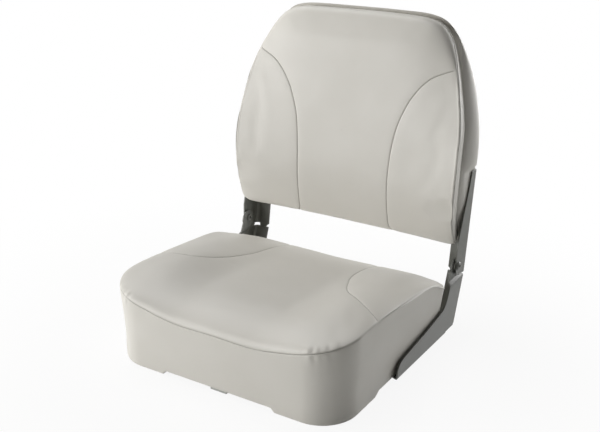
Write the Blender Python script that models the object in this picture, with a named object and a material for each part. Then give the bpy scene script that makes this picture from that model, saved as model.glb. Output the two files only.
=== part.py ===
"""Low-back folding boat seat: two upholstered cushions on moulded frames, joined by two steel hinges.

Metres, +Z up. The origin is the centre of the pedestal screw pattern on the underside. The sitter faces -Y.
Left is -X and right is +X, as seen from the front. The backrest folds forward about the two rivets.
"""
import math

import bmesh
import bpy
from mathutils import Matrix, Vector
from mathutils.bvhtree import BVHTree

# Clearances between pieces that touch
GAP = 0.0003
RUNNING_GAP = 0.00015
OVERRUN = 0.010

# Width over the hinge plates, and how far the cushions stay inside it on each side
HINGE_SPAN = 0.412
SEAT_HEM_INSET = 0.0075
SEAT_SEAM_INSET = 0.0010
BACK_SEAM_INSET = 0.0024

# Seat cushion outside: plan at the hem and at the boxing seam
SEAT_HEM_HALF_WIDTH = HINGE_SPAN / 2 - SEAT_HEM_INSET
SEAT_SEAM_HALF_WIDTH = HINGE_SPAN / 2 - SEAT_SEAM_INSET
SEAT_HEM_FRONT = -0.165
SEAT_SEAM_FRONT = -0.169
SEAT_HEM_REAR = 0.170
SEAT_SEAM_REAR = 0.171
SEAT_HEM_FRONT_RADIUS = 0.056
SEAT_SEAM_FRONT_RADIUS = 0.062
SEAT_REAR_RADIUS = 0.021
SEAT_LEAST_RADIUS = 0.002
SEAT_HEIGHT = 0.1335
HEM_HEIGHT = 0.006
HEM_WIDTH = 0.020
HEM_THICKNESS = 0.0012
HEM_EDGE_RADIUS = 0.0020
COVER_THICKNESS = 0.0040
BOXING_DRAW_IN = 0.0012

# Corner feet: the front corners of the rim reach lower than the rest of it
FOOT_FRONT_X = 0.098
FOOT_SIDE_LENGTH = 0.1125
FOOT_SIDE_Y = SEAT_HEM_FRONT + FOOT_SIDE_LENGTH
FOOT_RAMP = 0.005
FOOT_DROP = 0.006

# Heights of the boxing seam along the half outline, front centre to rear centre, as shares of the height
SEAT_SEAM_SHARES = (
    (0.0, 0.692), (0.097, 0.692), (0.180, 0.765), (0.229, 0.832), (0.336, 0.937), (0.409, 0.935),
    (0.486, 0.911), (0.564, 0.880), (0.600, 0.869), (0.640, 0.838), (0.670, 0.778), (0.696, 0.705),
    (0.719, 0.656), (0.742, 0.658), (0.775, 0.685), (0.820, 0.693), (1.0, 0.670),
)
# Top of the cushion on its centre line and along its side bolsters, front to rear
SEAT_CENTRE_SHARES = (
    (0.0, 0.872), (0.097, 0.890), (0.193, 0.893), (0.347, 0.872), (0.531, 0.838), (0.724, 0.803),
    (0.868, 0.770), (1.0, 0.722),
)
SEAT_BOLSTER_SHARES = (
    (0.0, 0.930), (0.116, 0.965), (0.289, 1.0), (0.434, 0.985), (0.560, 0.955), (0.724, 0.905),
    (0.868, 0.825), (0.935, 0.780), (1.0, 0.735),
)
SEAT_BOLSTER_START = 0.062
SEAT_BOLSTER_CREST = 0.168
SEAT_ROLL_SHARE = 0.70
SEAT_RING_SHARES = (0.985, 0.94, 0.87, 0.78, 0.62, 0.42, 0.20)
SEAT_INNER_RING_SHARES = (0.94, 0.78, 0.42)
SEAT_SIDE_SHARES = (0.40, 0.75)
SEAT_CENTRE_Y = -0.005

# Hinge line, from the seat's rear and the floor
PIVOT_SETBACK = 0.034
PIVOT_Y = SEAT_HEM_REAR + PIVOT_SETBACK
PIVOT_Z = 0.109

# Backrest cushion outside, seen from the front
BACK_HALF_WIDTH = HINGE_SPAN / 2 - BACK_SEAM_INSET
BACK_LIFT = 0.037
BACK_BOTTOM = PIVOT_Z + BACK_LIFT
BACK_HEIGHT = 0.343
BACK_OUTLINE_SHARES = (
    (0.0, 0.0), (0.37, -0.001), (0.74, -0.003), (0.88, -0.005), (0.945, -0.004), (0.974, 0.002),
    (0.986, 0.016), (0.987, 0.050), (0.986, 0.095), (0.990, 0.162), (0.997, 0.250), (1.0, 0.342),
    (0.996, 0.432), (0.985, 0.522), (0.960, 0.612), (0.925, 0.703), (0.873, 0.793), (0.801, 0.883),
    (0.741, 0.935), (0.670, 0.971), (0.58, 0.989), (0.47, 0.997), (0.23, 1.0), (0.0, 1.0),
)
# How far the front seam stands behind the hinge line, by height, in shares of the roll depth
BACK_ROLL_DEPTH = 0.050
BACK_SEAM_SHARES = (
    (0.0, 0.03), (0.015, -0.13), (0.043, -0.27), (0.085, -0.40), (0.162, -0.556), (0.252, -0.608),
    (0.342, -0.572), (0.432, -0.464), (0.522, -0.276), (0.612, -0.112), (0.703, 0.058), (0.793, 0.334),
    (0.883, 0.684), (0.935, 0.84), (0.973, 0.89), (1.0, 0.82),
)
# Front face on the centre line, bottom to top, in the same shares
BACK_FACE_SHARES = (
    (0.0, -0.20), (0.06, -0.26), (0.19, -0.35), (0.34, -0.26), (0.52, -0.10), (0.70, 0.07),
    (0.85, 0.21), (1.0, 0.40),
)
BACK_WING_DEPTH = 0.015
BACK_WING_SHARES = ((0.0, 0.5), (0.15, 0.9), (0.34, 1.0), (0.50, 0.75), (0.65, 0.25), (0.80, 0.0), (1.0, 0.0))
BACK_FRONT_ROLL_SHARE = 0.74
BACK_RING_SHARES = (0.98, 0.90, 0.78, 0.52)
BACK_INNER_RING_SHARES = (0.90, 0.52)
BACK_CENTRE_SHARE = 0.46

# Backrest boxing, the sewn line behind it, and the rear
BACK_BOXING_DEPTH = 0.027
BACK_BOXING_TOP_DEPTH = 0.014
BACK_VALLEY_INSET = 0.0030
BACK_BULGE_OUT = 0.0040
BACK_BULGE_IN = 0.0018
BACK_REAR_ROUND = 0.016
BACK_HINGE_ROUND = 0.007
BACK_REAR_FLATTEN_LIFT = 0.191
BACK_REAR_CROWN = 0.0116
BACK_REAR_RING_SHARES = (0.55,)
BACK_MOUTH_WIDTH = 0.300
BACK_MOUTH_DEPTH = 0.018
FOAM_GAP = 0.0006

# Decorative stitched arcs, in shares of half width and of depth or height
ARC_WIDTH = 0.0032
ARC_DEPTH = 0.0012
ARC_STEP = 0.027
SEAT_ARC_SHARES = (
    (0.425, 0.955), (0.427, 0.849), (0.437, 0.656), (0.470, 0.569), (0.555, 0.482), (0.72, 0.4245),
    (0.86, 0.381), (0.955, 0.352),
)
BACK_ARC_SHARES = (
    (0.425, 0.022), (0.414, 0.10), (0.412, 0.20), (0.412, 0.33), (0.435, 0.46), (0.505, 0.60),
    (0.60, 0.69), (0.73, 0.76), (0.835, 0.792),
)

# Hinge plates, bent from one sheet each
SHEET = 0.0025
REAR_BEND_RADIUS = 0.008
BASE_BEND_RADIUS = 0.004
BEND_STEPS = 4
RETURN_WIDTH = 0.029
WASHER_THICKNESS = 0.0010
JOGGLE = SHEET + WASHER_THICKNESS + 2 * GAP
JOGGLE_RAMP = 0.005

# Upper plate, side view: distances from the pivot, (behind, above)
UPPER_REAR_LOW = (0.0310, -0.0190)
UPPER_REAR_HIGH = (0.0563, 0.1455)
UPPER_FRONT_EDGE = (
    (0.0340, 0.1480), (0.0260, 0.1210), (0.0150, 0.0930), (0.0050, 0.0680), (-0.0035, 0.0430),
    (-0.0075, 0.0260),
)
UPPER_EAR_RADIUS = 0.0085
UPPER_EAR_DROP = 0.0060
# Lower plate, side view: from the pivot at the top, from the hem below
LOWER_REAR_HIGH = (0.0298, -0.0240)
LOWER_REAR_LOW = (-0.0010, -0.1058)
LOWER_EAR_RADIUS = 0.0155
LOWER_EAR_SHIFT = (-0.0025, -0.0020)
LOWER_FRONT_EDGE = (
    (-0.0290, -0.0310), (-0.0330, -0.0400), (-0.0385, -0.0490), (-0.0450, -0.0555), (-0.0525, -0.0592),
    (-0.0760, -0.0638), (-0.1180, -0.0702), (-0.1610, -0.0752), (-0.1870, -0.0782), (-0.1985, -0.0825),
    (-0.2045, -0.0900), (-0.2060, -0.0970),
)
JOGGLE_LINE_REAR = (0.0250, -0.0225)
JOGGLE_LINE_FRONT = (-0.0290, -0.0255)
BASE_FLANGE_WIDTH = 0.028
BASE_FLANGE_CORNER = 0.012
BASE_FLANGE_REAR_CUT = 0.036
STOP_GAP = 0.0053
STOP_TAB_START = 0.006
STOP_TAB_END = 0.023
STOP_NOTCH = 0.0045

# Pivot rivets
RIVET_RADIUS = 0.0039
RIVET_HEAD_RADIUS = 0.0067
RIVET_HEAD_HEIGHT = 0.0028
RIVET_TAIL_RADIUS = 0.0062
RIVET_TAIL_HEIGHT = 0.0022
PIVOT_WASHER_RADIUS = 0.0078
ROUND_STEPS = 20

# Screws
SCREW_RADIUS = 0.0019
SCREW_HEAD_RADIUS = 0.0043
SCREW_HEAD_HEIGHT = 0.0024
SCREW_LENGTH = 0.0150
SCREW_STEPS = 10
BASE_SCREW_REACHES = (0.206, 0.149, 0.092)
BASE_SCREW_INSET = 0.0165
BACK_SCREW_LIFTS = (0.065, 0.098, 0.131)
BACK_SCREW_INSET = 0.0205
SCREW_HOLE_SLACK = 0.0004
CLOTH_HOLE_STEPS = 6
CLOTH_HOLE_SLACK = 0.0008

# Seat pan: moulded tray with ribs, open below
PAN_TOP = 0.028
PAN_SKIN = 0.0032
PAN_RIB = 0.0026
MOUNT_SPACING = 0.127
PAN_PITCH = MOUNT_SPACING / 3
PAN_RIM = 0.0060
PAN_EDGE_CHAMFER = 0.002
POCKET_LEAST = 0.006
SCREW_BOSS_RADIUS = 0.0042
MOUNT_BOSS_RADIUS = 0.0110
CENTRE_BOSS_RADIUS = 0.0140
PAD_MARGIN = 0.0165
REAR_FOOT_X = (0.098, 0.150)
REAR_FOOT_SETBACK = 0.022
REAR_FOOT_DEPTH = 0.025
FRONT_TAB_WIDTH = 0.028
FRONT_TAB_SETBACK = 0.005
FRONT_TAB_DEPTH = 0.011
INSERT_RADIUS = 0.0058
INSERT_BORE_RADIUS = 0.0026
INSERT_LENGTH = 0.0160

# Backrest frame: moulded board with ribs towards the foam
FRAME_DEPTH = 0.014
FRAME_SKIN = 0.0032
FRAME_RIB = 0.0026
FRAME_PITCH = 0.042
FRAME_RIM = 0.007
BOARD_RING_SHARE = 0.55

# Colours, linear, with roughness and metallic value
VINYL = (0.600, 0.585, 0.545, 0.50, 0.0)
FOAM = (0.780, 0.700, 0.430, 0.95, 0.0)
MOULDED_PLASTIC = (0.420, 0.420, 0.400, 0.45, 0.0)
HINGE_PAINT = (0.185, 0.190, 0.178, 0.38, 0.6)
FASTENER_STEEL = (0.420, 0.420, 0.420, 0.30, 1.0)
NYLON = (0.720, 0.710, 0.680, 0.50, 0.0)
BRASS = (0.560, 0.420, 0.160, 0.35, 1.0)


def material(name, values):
    """A Principled material from one row of the colour table."""
    made = bpy.data.materials.new(name)
    made.use_nodes = True
    shader = made.node_tree.nodes["Principled BSDF"]
    shader.inputs["Base Color"].default_value = (*values[:3], 1)
    shader.inputs["Roughness"].default_value = values[3]
    shader.inputs["Metallic"].default_value = values[4]
    made.diffuse_color = (*values[:3], 1)
    return made


def smooth_table(table, key):
    """Value at key on a smooth curve through the table's (key, value) rows."""
    last = len(table) - 1
    if key <= table[0][0]:
        return table[0][1]
    if key >= table[last][0]:
        return table[last][1]
    index = max(i for i in range(last) if table[i][0] <= key)

    def slope(i):
        low, high = table[max(i - 1, 0)], table[min(i + 1, last)]
        return (high[1] - low[1]) / (high[0] - low[0])

    (k0, v0), (k1, v1) = table[index], table[index + 1]
    span = k1 - k0
    t = (key - k0) / span
    return ((2 * t**3 - 3 * t**2 + 1) * v0 + (t**3 - 2 * t**2 + t) * span * slope(index)
            + (3 * t**2 - 2 * t**3) * v1 + (t**3 - t**2) * span * slope(index + 1))


def smooth_path(points, steps):
    """Points on a smooth curve through the given ones, with so many steps in each stretch."""
    keys = range(len(points))
    columns = [tuple(zip(keys, column)) for column in zip(*points)]
    count = (len(points) - 1) * steps
    return [tuple(smooth_table(column, i / steps) for column in columns) for i in range(count + 1)]


def smooth_step(value):
    """Ease from 0 to 1."""
    t = min(max(value, 0), 1)
    return t * t * (3 - 2 * t)


def path_shares(points):
    """Distance along a line of points, as shares of its whole length."""
    lengths = [0]
    for a, b in zip(points, points[1:]):
        lengths.append(lengths[-1] + (Vector(b) - Vector(a)).length)
    return [length / lengths[-1] for length in lengths]


def mirrored_ring(half):
    """Close a half outline that starts and ends on the centre plane."""
    other = [Vector((-p.x, p.y, p.z)) for p in reversed(half[1:-1])]
    return half + other


def finish_mesh(name, shape, look):
    """Make an object of a bmesh with its faces pointing out."""
    bmesh.ops.recalc_face_normals(shape, faces=shape.faces)
    if shape.calc_volume(signed=True) < 0:
        bmesh.ops.reverse_faces(shape, faces=shape.faces)
    mesh = bpy.data.meshes.new(name)
    shape.to_mesh(mesh)
    shape.free()
    made = bpy.data.objects.new(name, mesh)
    bpy.context.scene.collection.objects.link(made)
    if look:
        mesh.materials.append(look)
    return made


def soften(made, angle=math.radians(40)):
    """Shade smooth, keeping edges sharper than the angle."""
    made.data.shade_smooth()
    made.data.set_sharp_from_angle(angle=angle)
    return made


def loft(name, rings, look, start=None, end=None, closed=False):
    """Skin a row of rings of equal count. start and end are cap centres; closed joins last to first.

    Each quad is split, the other way on the second half of the ring, so that both sides mirror each other
    and skins that nest keep their spacing.
    """
    shape = bmesh.new()
    loops = [[shape.verts.new(p) for p in ring] for ring in rings]
    pairs = list(zip(loops, loops[1:]))
    if closed:
        pairs.append((loops[-1], loops[0]))
    count = len(loops[0])
    for low, high in pairs:
        for i in range(count):
            j = (i + 1) % count
            near, far = (i, j) if i < count / 2 else (j, i)
            shape.faces.new((low[near], low[far], high[far]))
            shape.faces.new((low[near], high[far], high[near]))
    caps = ((loops[0], start), (loops[-1], end))
    for loop, centre in caps:
        if centre is not None:
            middle = shape.verts.new(centre)
            for i in range(count):
                shape.faces.new((loop[i], loop[(i + 1) % count], middle))
    return finish_mesh(name, shape, look)


def turned(name, profile, look, steps, frame=Matrix()):
    """Turn a profile of (radius, height) about the frame's Z axis. Zero radius ends it on the axis."""
    turns = [2 * math.pi * i / steps for i in range(steps)]
    ends = [frame @ Vector((0, 0, h)) if r == 0 else None for r, h in (profile[0], profile[-1])]
    rings = [[frame @ Vector((r * math.cos(a), r * math.sin(a), h)) for a in turns]
             for r, h in profile if r > 0]
    hollow = ends[0] is None and ends[1] is None
    return loft(name, rings, look, start=ends[0], end=ends[1], closed=hollow)


def block(shape, low, high):
    """Add a box to a bmesh."""
    size = Vector(high) - Vector(low)
    centre = (Vector(high) + Vector(low)) / 2
    bmesh.ops.create_cube(shape, size=1, matrix=Matrix.Translation(centre) @ Matrix.Diagonal((*size, 1)))


def post(shape, radius, low, high, steps, frame=Matrix()):
    """Add a capped cylinder between two heights of a frame's Z axis."""
    place = frame @ Matrix.Translation((0, 0, (low + high) / 2))
    bmesh.ops.create_cone(shape, cap_ends=True, segments=steps, radius1=radius, radius2=radius,
                          depth=high - low, matrix=place)


def combine(target, tool, operation):
    """Boolean a tool into the target for good, and remove the tool."""
    modifier = target.modifiers.new("boolean", "BOOLEAN")
    modifier.operation = operation
    modifier.solver = "EXACT"
    modifier.object = tool
    graph = bpy.context.evaluated_depsgraph_get()
    result = bpy.data.meshes.new_from_object(target.evaluated_get(graph), depsgraph=graph)
    target.modifiers.clear()
    old = target.data
    target.data = result
    result.name = old.name
    bpy.data.meshes.remove(old)
    bpy.data.objects.remove(tool)
    return target


def hang_on(made, pivot):
    """Parent a piece to an empty without moving it."""
    made.data.transform(Matrix.Translation(-pivot.location))
    made.parent = pivot
    return made


def frame_along(origin, direction):
    """A frame whose Z axis runs along a direction."""
    turn = Vector((0, 0, 1)).rotation_difference(Vector(direction)).to_matrix().to_4x4()
    return Matrix.Translation(origin) @ turn


# Seat cushion surfaces

def seat_half(half_width, front, rear, front_radius, rear_radius):
    """Half of the seat's plan, front centre to rear centre, with stations at the feet."""
    points = [(0, front), (FOOT_FRONT_X / 2, front), (FOOT_FRONT_X - FOOT_RAMP, front), (FOOT_FRONT_X, front)]
    arc_steps = 6
    for i in range(arc_steps + 1):
        a = math.pi / 2 * i / arc_steps
        points.append((half_width - front_radius + front_radius * math.sin(a),
                       front + front_radius - front_radius * math.cos(a)))
    side_end = rear - rear_radius
    points += [(half_width, FOOT_SIDE_Y), (half_width, FOOT_SIDE_Y + FOOT_RAMP)]
    side_start = FOOT_SIDE_Y + FOOT_RAMP
    points += [(half_width, side_start + (side_end - side_start) * share) for share in (1 / 3, 2 / 3)]
    arc_steps = 4
    for i in range(arc_steps + 1):
        a = math.pi / 2 * i / arc_steps
        points.append((half_width - rear_radius + rear_radius * math.cos(a),
                       side_end + rear_radius * math.sin(a)))
    straight = half_width - rear_radius
    points += [(straight * share, rear) for share in (2 / 3, 1 / 3, 0)]
    return points


def seat_plan(height_share, inset):
    """Half plan of the boxing at a share of its height, moved inwards by the inset."""
    def mix(low, high):
        return low + (high - low) * height_share

    half_width = mix(SEAT_HEM_HALF_WIDTH, SEAT_SEAM_HALF_WIDTH)
    pull = inset + BOXING_DRAW_IN * math.sin(math.pi * height_share)
    front_radius = mix(SEAT_HEM_FRONT_RADIUS, SEAT_SEAM_FRONT_RADIUS)
    return seat_half(half_width - pull, mix(SEAT_HEM_FRONT, SEAT_SEAM_FRONT) + pull,
                     mix(SEAT_HEM_REAR, SEAT_SEAM_REAR) - pull,
                     front_radius - pull, max(SEAT_REAR_RADIUS - pull, SEAT_LEAST_RADIUS))


SEAT_PATH = path_shares([(x, y, 0) for x, y in seat_plan(1, 0)])


def on_foot(x, y):
    """Whether a point of the outline stands on a front corner foot."""
    return abs(x) >= FOOT_FRONT_X and y <= FOOT_SIDE_Y


def hem_height(x, y):
    """Height of the cover's lowest edge: the corner feet reach down to the floor."""
    return HEM_HEIGHT - (FOOT_DROP if on_foot(x, y) else 0)


def seat_surface(x, y):
    """Height of the cushion's top, without its rolled edges."""
    depth_share = (y - SEAT_SEAM_FRONT) / (SEAT_SEAM_REAR - SEAT_SEAM_FRONT)
    centre = smooth_table(SEAT_CENTRE_SHARES, depth_share)
    bolster = smooth_table(SEAT_BOLSTER_SHARES, depth_share)
    side = smooth_step((abs(x) - SEAT_BOLSTER_START) / (SEAT_BOLSTER_CREST - SEAT_BOLSTER_START))
    return SEAT_HEIGHT * (centre + (bolster - centre) * side)


def rolled(share, start, edge, inner):
    """Blend from the inner value to the edge value over the last part of the way out."""
    q = max(0, (share - start) / (1 - start))
    return edge + (inner - edge) * math.sqrt(max(0, 1 - q * q))


def seat_side_rings(inset, shares):
    """Rings of the boxing at shares of its height."""
    rings = []
    for share in shares:
        half = []
        for place, (x, y) in zip(SEAT_PATH, seat_plan(share, inset)):
            top = SEAT_HEIGHT * smooth_table(SEAT_SEAM_SHARES, place)
            half.append(Vector((x, y, HEM_HEIGHT + (top - HEM_HEIGHT) * share)))
        rings.append(mirrored_ring(half))
    return rings


def seat_top_rings(inset, drop, shares):
    """Rings of the top at shares of the way out, from the seam inwards."""
    rings = []
    for ring_share in shares:
        half = []
        for place, (x, y) in zip(SEAT_PATH, seat_plan(1, inset)):
            px, py = x * ring_share, SEAT_CENTRE_Y + (y - SEAT_CENTRE_Y) * ring_share
            seam = SEAT_HEIGHT * smooth_table(SEAT_SEAM_SHARES, place)
            height = rolled(ring_share, SEAT_ROLL_SHARE, seam, seat_surface(px, py))
            half.append(Vector((px, py, height - drop)))
        rings.append(mirrored_ring(half))
    return rings


def seat_low_ring(inset, lift):
    """A ring at the hem, following the feet."""
    return mirrored_ring([Vector((x, y, hem_height(x, y) + lift)) for x, y in seat_plan(0, inset)])


def seat_centre(drop):
    return Vector((0, SEAT_CENTRE_Y, seat_surface(0, SEAT_CENTRE_Y) - drop))


def arc_cutter(points, cast, outward):
    """A thin round tool laid along a stitched line on a surface."""
    spots = []
    for point in points:
        hit = cast(point)
        if hit is not None:
            spots.append(hit + outward * (ARC_WIDTH / 2 - ARC_DEPTH))
    curve = bpy.data.curves.new("stitch_line", "CURVE")
    curve.dimensions = "3D"
    curve.bevel_depth = ARC_WIDTH / 2
    curve.bevel_resolution = 0
    curve.use_fill_caps = True
    line = curve.splines.new("POLY")
    line.points.add(len(spots) - 1)
    for slot, spot in zip(line.points, spots):
        slot.co = (*spot, 1)
    guide = bpy.data.objects.new("stitch_line", curve)
    bpy.context.scene.collection.objects.link(guide)
    graph = bpy.context.evaluated_depsgraph_get()
    mesh = bpy.data.meshes.new_from_object(guide.evaluated_get(graph))
    bpy.data.objects.remove(guide)
    bpy.data.curves.remove(curve)
    tool = bpy.data.objects.new("stitch_tool", mesh)
    bpy.context.scene.collection.objects.link(tool)
    return tool


def resampled(points, step):
    """Points at an even spacing along a line of points."""
    lengths = path_shares(points)
    total = sum((Vector(b) - Vector(a)).length for a, b in zip(points, points[1:]))
    count = max(2, round(total / step))
    columns = [tuple(zip(lengths, column)) for column in zip(*points)]
    return [Vector([smooth_table(column, i / count) for column in columns]) for i in range(count + 1)]


def stitch_arcs(cover, line, direction):
    """Press both mirrored stitched arcs into a cover, found by casting along a direction."""
    tree = BVHTree.FromObject(cover, bpy.context.evaluated_depsgraph_get())
    for side in (-1, 1):
        points = [Vector((side * p.x, p.y, p.z)) for p in resampled(line, ARC_STEP)]
        tool = arc_cutter(points, lambda p: tree.ray_cast(p - direction, direction)[0], -direction)
        combine(cover, tool, "DIFFERENCE")


def seat_inner_rings(inset):
    """Rings inside the cover, from low on the boxing to the middle of the top."""
    edge = [p - Vector((0, 0, inset)) for p in seat_side_rings(inset, (1,))[0]]
    top = seat_top_rings(inset, inset, SEAT_INNER_RING_SHARES)
    return [*seat_side_rings(inset, SEAT_SIDE_SHARES), edge, *top]


def seat_cover(look):
    """Vinyl with its sewn-on backing: an open-bottomed skin whose hem turns under the pan."""
    outer = [seat_low_ring(HEM_WIDTH, 0), seat_low_ring(HEM_EDGE_RADIUS, 0)]
    outer += [seat_low_ring(0, HEM_EDGE_RADIUS), *seat_side_rings(0, (*SEAT_SIDE_SHARES, 1))]
    outer += seat_top_rings(0, 0, SEAT_RING_SHARES)
    inner = [seat_low_ring(HEM_WIDTH, HEM_THICKNESS), seat_low_ring(COVER_THICKNESS, HEM_THICKNESS)]
    inner += seat_inner_rings(COVER_THICKNESS)
    made = loft("seat_cover", [*reversed(inner), *outer], look,
                start=seat_centre(COVER_THICKNESS), end=seat_centre(0))
    depth = SEAT_SEAM_REAR - SEAT_SEAM_FRONT
    line = [(SEAT_SEAM_HALF_WIDTH * u, SEAT_SEAM_REAR - depth * (1 - v), 2 * SEAT_HEIGHT)
            for u, v in SEAT_ARC_SHARES]
    stitch_arcs(made, smooth_path(line, 3), Vector((0, 0, -1)))
    holes = bmesh.new()
    for sign in (-1, 1):
        for x, y in base_screw_places(sign):
            place = Matrix.Translation((x, y, 0))
            post(holes, SCREW_RADIUS + CLOTH_HOLE_SLACK, -OVERRUN, PAN_TOP, CLOTH_HOLE_STEPS, place)
    combine(made, finish_mesh("hem_holes", holes, None), "DIFFERENCE")
    notch = bmesh.new()
    half_tab = FRONT_TAB_WIDTH / 2 + GAP
    block(notch, (-half_tab, front_tab_y() - GAP, -OVERRUN),
          (half_tab, front_tab_y() + FRONT_TAB_DEPTH + OVERRUN, HEM_HEIGHT + HEM_THICKNESS + GAP))
    combine(made, finish_mesh("hem_notch", notch, None), "DIFFERENCE")
    return soften(made)


def seat_foam(look):
    """Foam block from the pan's top to the inside of the cover."""
    inset = COVER_THICKNESS + FOAM_GAP
    low_share = (PAN_TOP + GAP - HEM_HEIGHT) / (SEAT_HEIGHT * SEAT_SEAM_SHARES[0][1] - HEM_HEIGHT)
    base = [Vector((p.x, p.y, PAN_TOP + GAP)) for p in seat_side_rings(inset, (low_share,))[0]]
    floor = Vector((0, SEAT_CENTRE_Y, PAN_TOP + GAP))
    rings = [*reversed(seat_inner_rings(inset)), base]
    return soften(loft("seat_foam", rings, look, start=seat_centre(inset), end=floor))


# Seat pan and what it carries

def base_screw_places(sign):
    """Plan positions of one side's base screws."""
    return [(sign * (HINGE_SPAN / 2 - BASE_SCREW_INSET), PIVOT_Y - reach) for reach in BASE_SCREW_REACHES]


def front_tab_y():
    return SEAT_HEM_FRONT + FRONT_TAB_SETBACK


def pocket_spans(pitch, rib, low, high, offset=0):
    """Pockets on a centred pitch between two limits, as (low, high). Slivers stay solid."""
    count = math.ceil(max(-low, high) / pitch)
    reach = (pitch - rib) / 2
    middles = [(i + offset) * pitch for i in range(-count, count + 1)]
    spans = [(max(middle - reach, low), min(middle + reach, high)) for middle in middles]
    return [span for span in spans if span[1] - span[0] > POCKET_LEAST]


def outermost(span):
    """The end of a span that lies further from the middle."""
    return max(span, key=abs)


def mount_places():
    """The four insert positions, by name."""
    half = MOUNT_SPACING / 2
    return {f"{row}_{column}": (x, y) for row, y in (("front", -half), ("rear", half))
            for column, x in (("left", -half), ("right", half))}


def seat_pan(look):
    """Moulded tray: flat top, deep rim, square ribs below, bosses, feet and a small front tab."""
    inset = COVER_THICKNESS + GAP
    lift = HEM_THICKNESS + GAP
    flat = HEM_HEIGHT + lift
    inner = HEM_WIDTH + inset
    under = [Vector((p.x, p.y, flat)) for p in seat_low_ring(inner + GAP, lift)]
    foot_inner = seat_low_ring(inner, lift)
    foot_outer = seat_low_ring(inset, lift)
    top_share = (PAN_TOP - HEM_HEIGHT) / (SEAT_HEIGHT * SEAT_SEAM_SHARES[0][1] - HEM_HEIGHT)
    side = [Vector((p.x, p.y, PAN_TOP - PAN_EDGE_CHAMFER)) for p in seat_side_rings(inset, (top_share,))[0]]
    rim = [Vector((p.x, p.y, PAN_TOP)) for p in seat_side_rings(inset + PAN_EDGE_CHAMFER, (top_share,))[0]]
    made = loft("seat_pan", [under, foot_inner, foot_outer, side, rim], look,
                start=Vector((0, SEAT_CENTRE_Y, flat)), end=Vector((0, SEAT_CENTRE_Y, PAN_TOP)))

    pad = bmesh.new()
    half_pad = MOUNT_SPACING / 2 + PAD_MARGIN
    block(pad, (-half_pad, -half_pad, 0), (half_pad, half_pad, PAN_TOP - PAN_SKIN / 2))
    combine(made, finish_mesh("pad", pad, None), "UNION")

    pockets = bmesh.new()
    ceiling = PAN_TOP - PAN_SKIN
    limits = seat_plan(0, inset + PAN_RIM)
    half_width = max(x for x, _ in limits)
    for xs in pocket_spans(PAN_PITCH, PAN_RIB, -half_width, half_width):
        for ys in pocket_spans(PAN_PITCH, PAN_RIB, limits[0][1], limits[-1][1]):
            if inside_half(abs(outermost(xs)) - PAN_RIB, outermost(ys) * (1 - PAN_RIB / PAN_PITCH), limits):
                block(pockets, (xs[0], ys[0], -OVERRUN), (xs[1], ys[1], ceiling))
    combine(made, finish_mesh("pockets", pockets, None), "DIFFERENCE")

    bosses = bmesh.new()
    for x, y in mount_places().values():
        post(bosses, MOUNT_BOSS_RADIUS, 0, ceiling + PAN_SKIN / 2, ROUND_STEPS, Matrix.Translation((x, y, 0)))
    post(bosses, CENTRE_BOSS_RADIUS, 0, ceiling + PAN_SKIN / 2, ROUND_STEPS)
    combine(made, finish_mesh("mount_bosses", bosses, None), "UNION")
    web = PAN_PITCH / 2 + PAN_RIB / 2
    for reach in ((web, PAN_RIB / 2), (PAN_RIB / 2, web)):
        cross = bmesh.new()
        block(cross, (-reach[0], -reach[1], GAP), (reach[0], reach[1], ceiling + PAN_SKIN / 2))
        combine(made, finish_mesh("cross", cross, None), "UNION")
    foot_end = SEAT_HEM_REAR - REAR_FOOT_SETBACK
    for sign in (-1, 1):
        more = bmesh.new()
        for x, y in base_screw_places(sign):
            place = Matrix.Translation((x, y, 0))
            post(more, SCREW_BOSS_RADIUS, flat, ceiling + PAN_SKIN / 2, SCREW_STEPS, place)
        xs = sorted(sign * x for x in REAR_FOOT_X)
        block(more, (xs[0], foot_end - REAR_FOOT_DEPTH, 0), (xs[1], foot_end, ceiling + PAN_SKIN / 2))
        combine(made, finish_mesh("side_bosses", more, None), "UNION")
    tab = bmesh.new()
    half_tab = FRONT_TAB_WIDTH / 2
    tab_end = front_tab_y() + FRONT_TAB_DEPTH
    block(tab, (-half_tab, front_tab_y(), 0), (half_tab, tab_end, ceiling + PAN_SKIN / 2))
    combine(made, finish_mesh("front_tab", tab, None), "UNION")

    holes = bmesh.new()
    for x, y in mount_places().values():
        place = Matrix.Translation((x, y, 0))
        post(holes, INSERT_RADIUS + GAP, -OVERRUN, INSERT_LENGTH + GAP, ROUND_STEPS, place)
    depth = base_screw_seat() + SCREW_LENGTH + GAP
    for sign in (-1, 1):
        for x, y in base_screw_places(sign):
            post(holes, SCREW_RADIUS + GAP, -OVERRUN, depth, SCREW_STEPS, Matrix.Translation((x, y, 0)))
    combine(made, finish_mesh("pan_holes", holes, None), "DIFFERENCE")
    return made


def base_screw_seat():
    """Height of the underside of the hinges' base flanges, where the screw heads bear."""
    return HEM_HEIGHT - GAP - SHEET


def mount_insert(name, x, y, look):
    """Threaded insert, pressed into its boss with its face level with the pad."""
    profile = [(INSERT_BORE_RADIUS, 0), (INSERT_RADIUS, 0), (INSERT_RADIUS, INSERT_LENGTH),
               (INSERT_BORE_RADIUS, INSERT_LENGTH)]
    return soften(turned(name, profile, look, ROUND_STEPS, Matrix.Translation((x, y, 0))))


def screw(name, origin, direction, look):
    """Pan-head screw: the origin is under its head, and the shank runs along the direction."""
    radius, height = SCREW_HEAD_RADIUS, SCREW_HEAD_HEIGHT
    tip = SCREW_RADIUS / 2
    profile = [(0, -height), (radius * 0.55, -height * 0.92), (radius * 0.90, -height * 0.55), (radius, -GAP),
               (SCREW_RADIUS, -GAP), (SCREW_RADIUS, SCREW_LENGTH - tip * 2), (tip, SCREW_LENGTH),
                (0, SCREW_LENGTH)]
    return soften(turned(name, profile, look, SCREW_STEPS, frame_along(origin, direction)))


# Hinges

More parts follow.
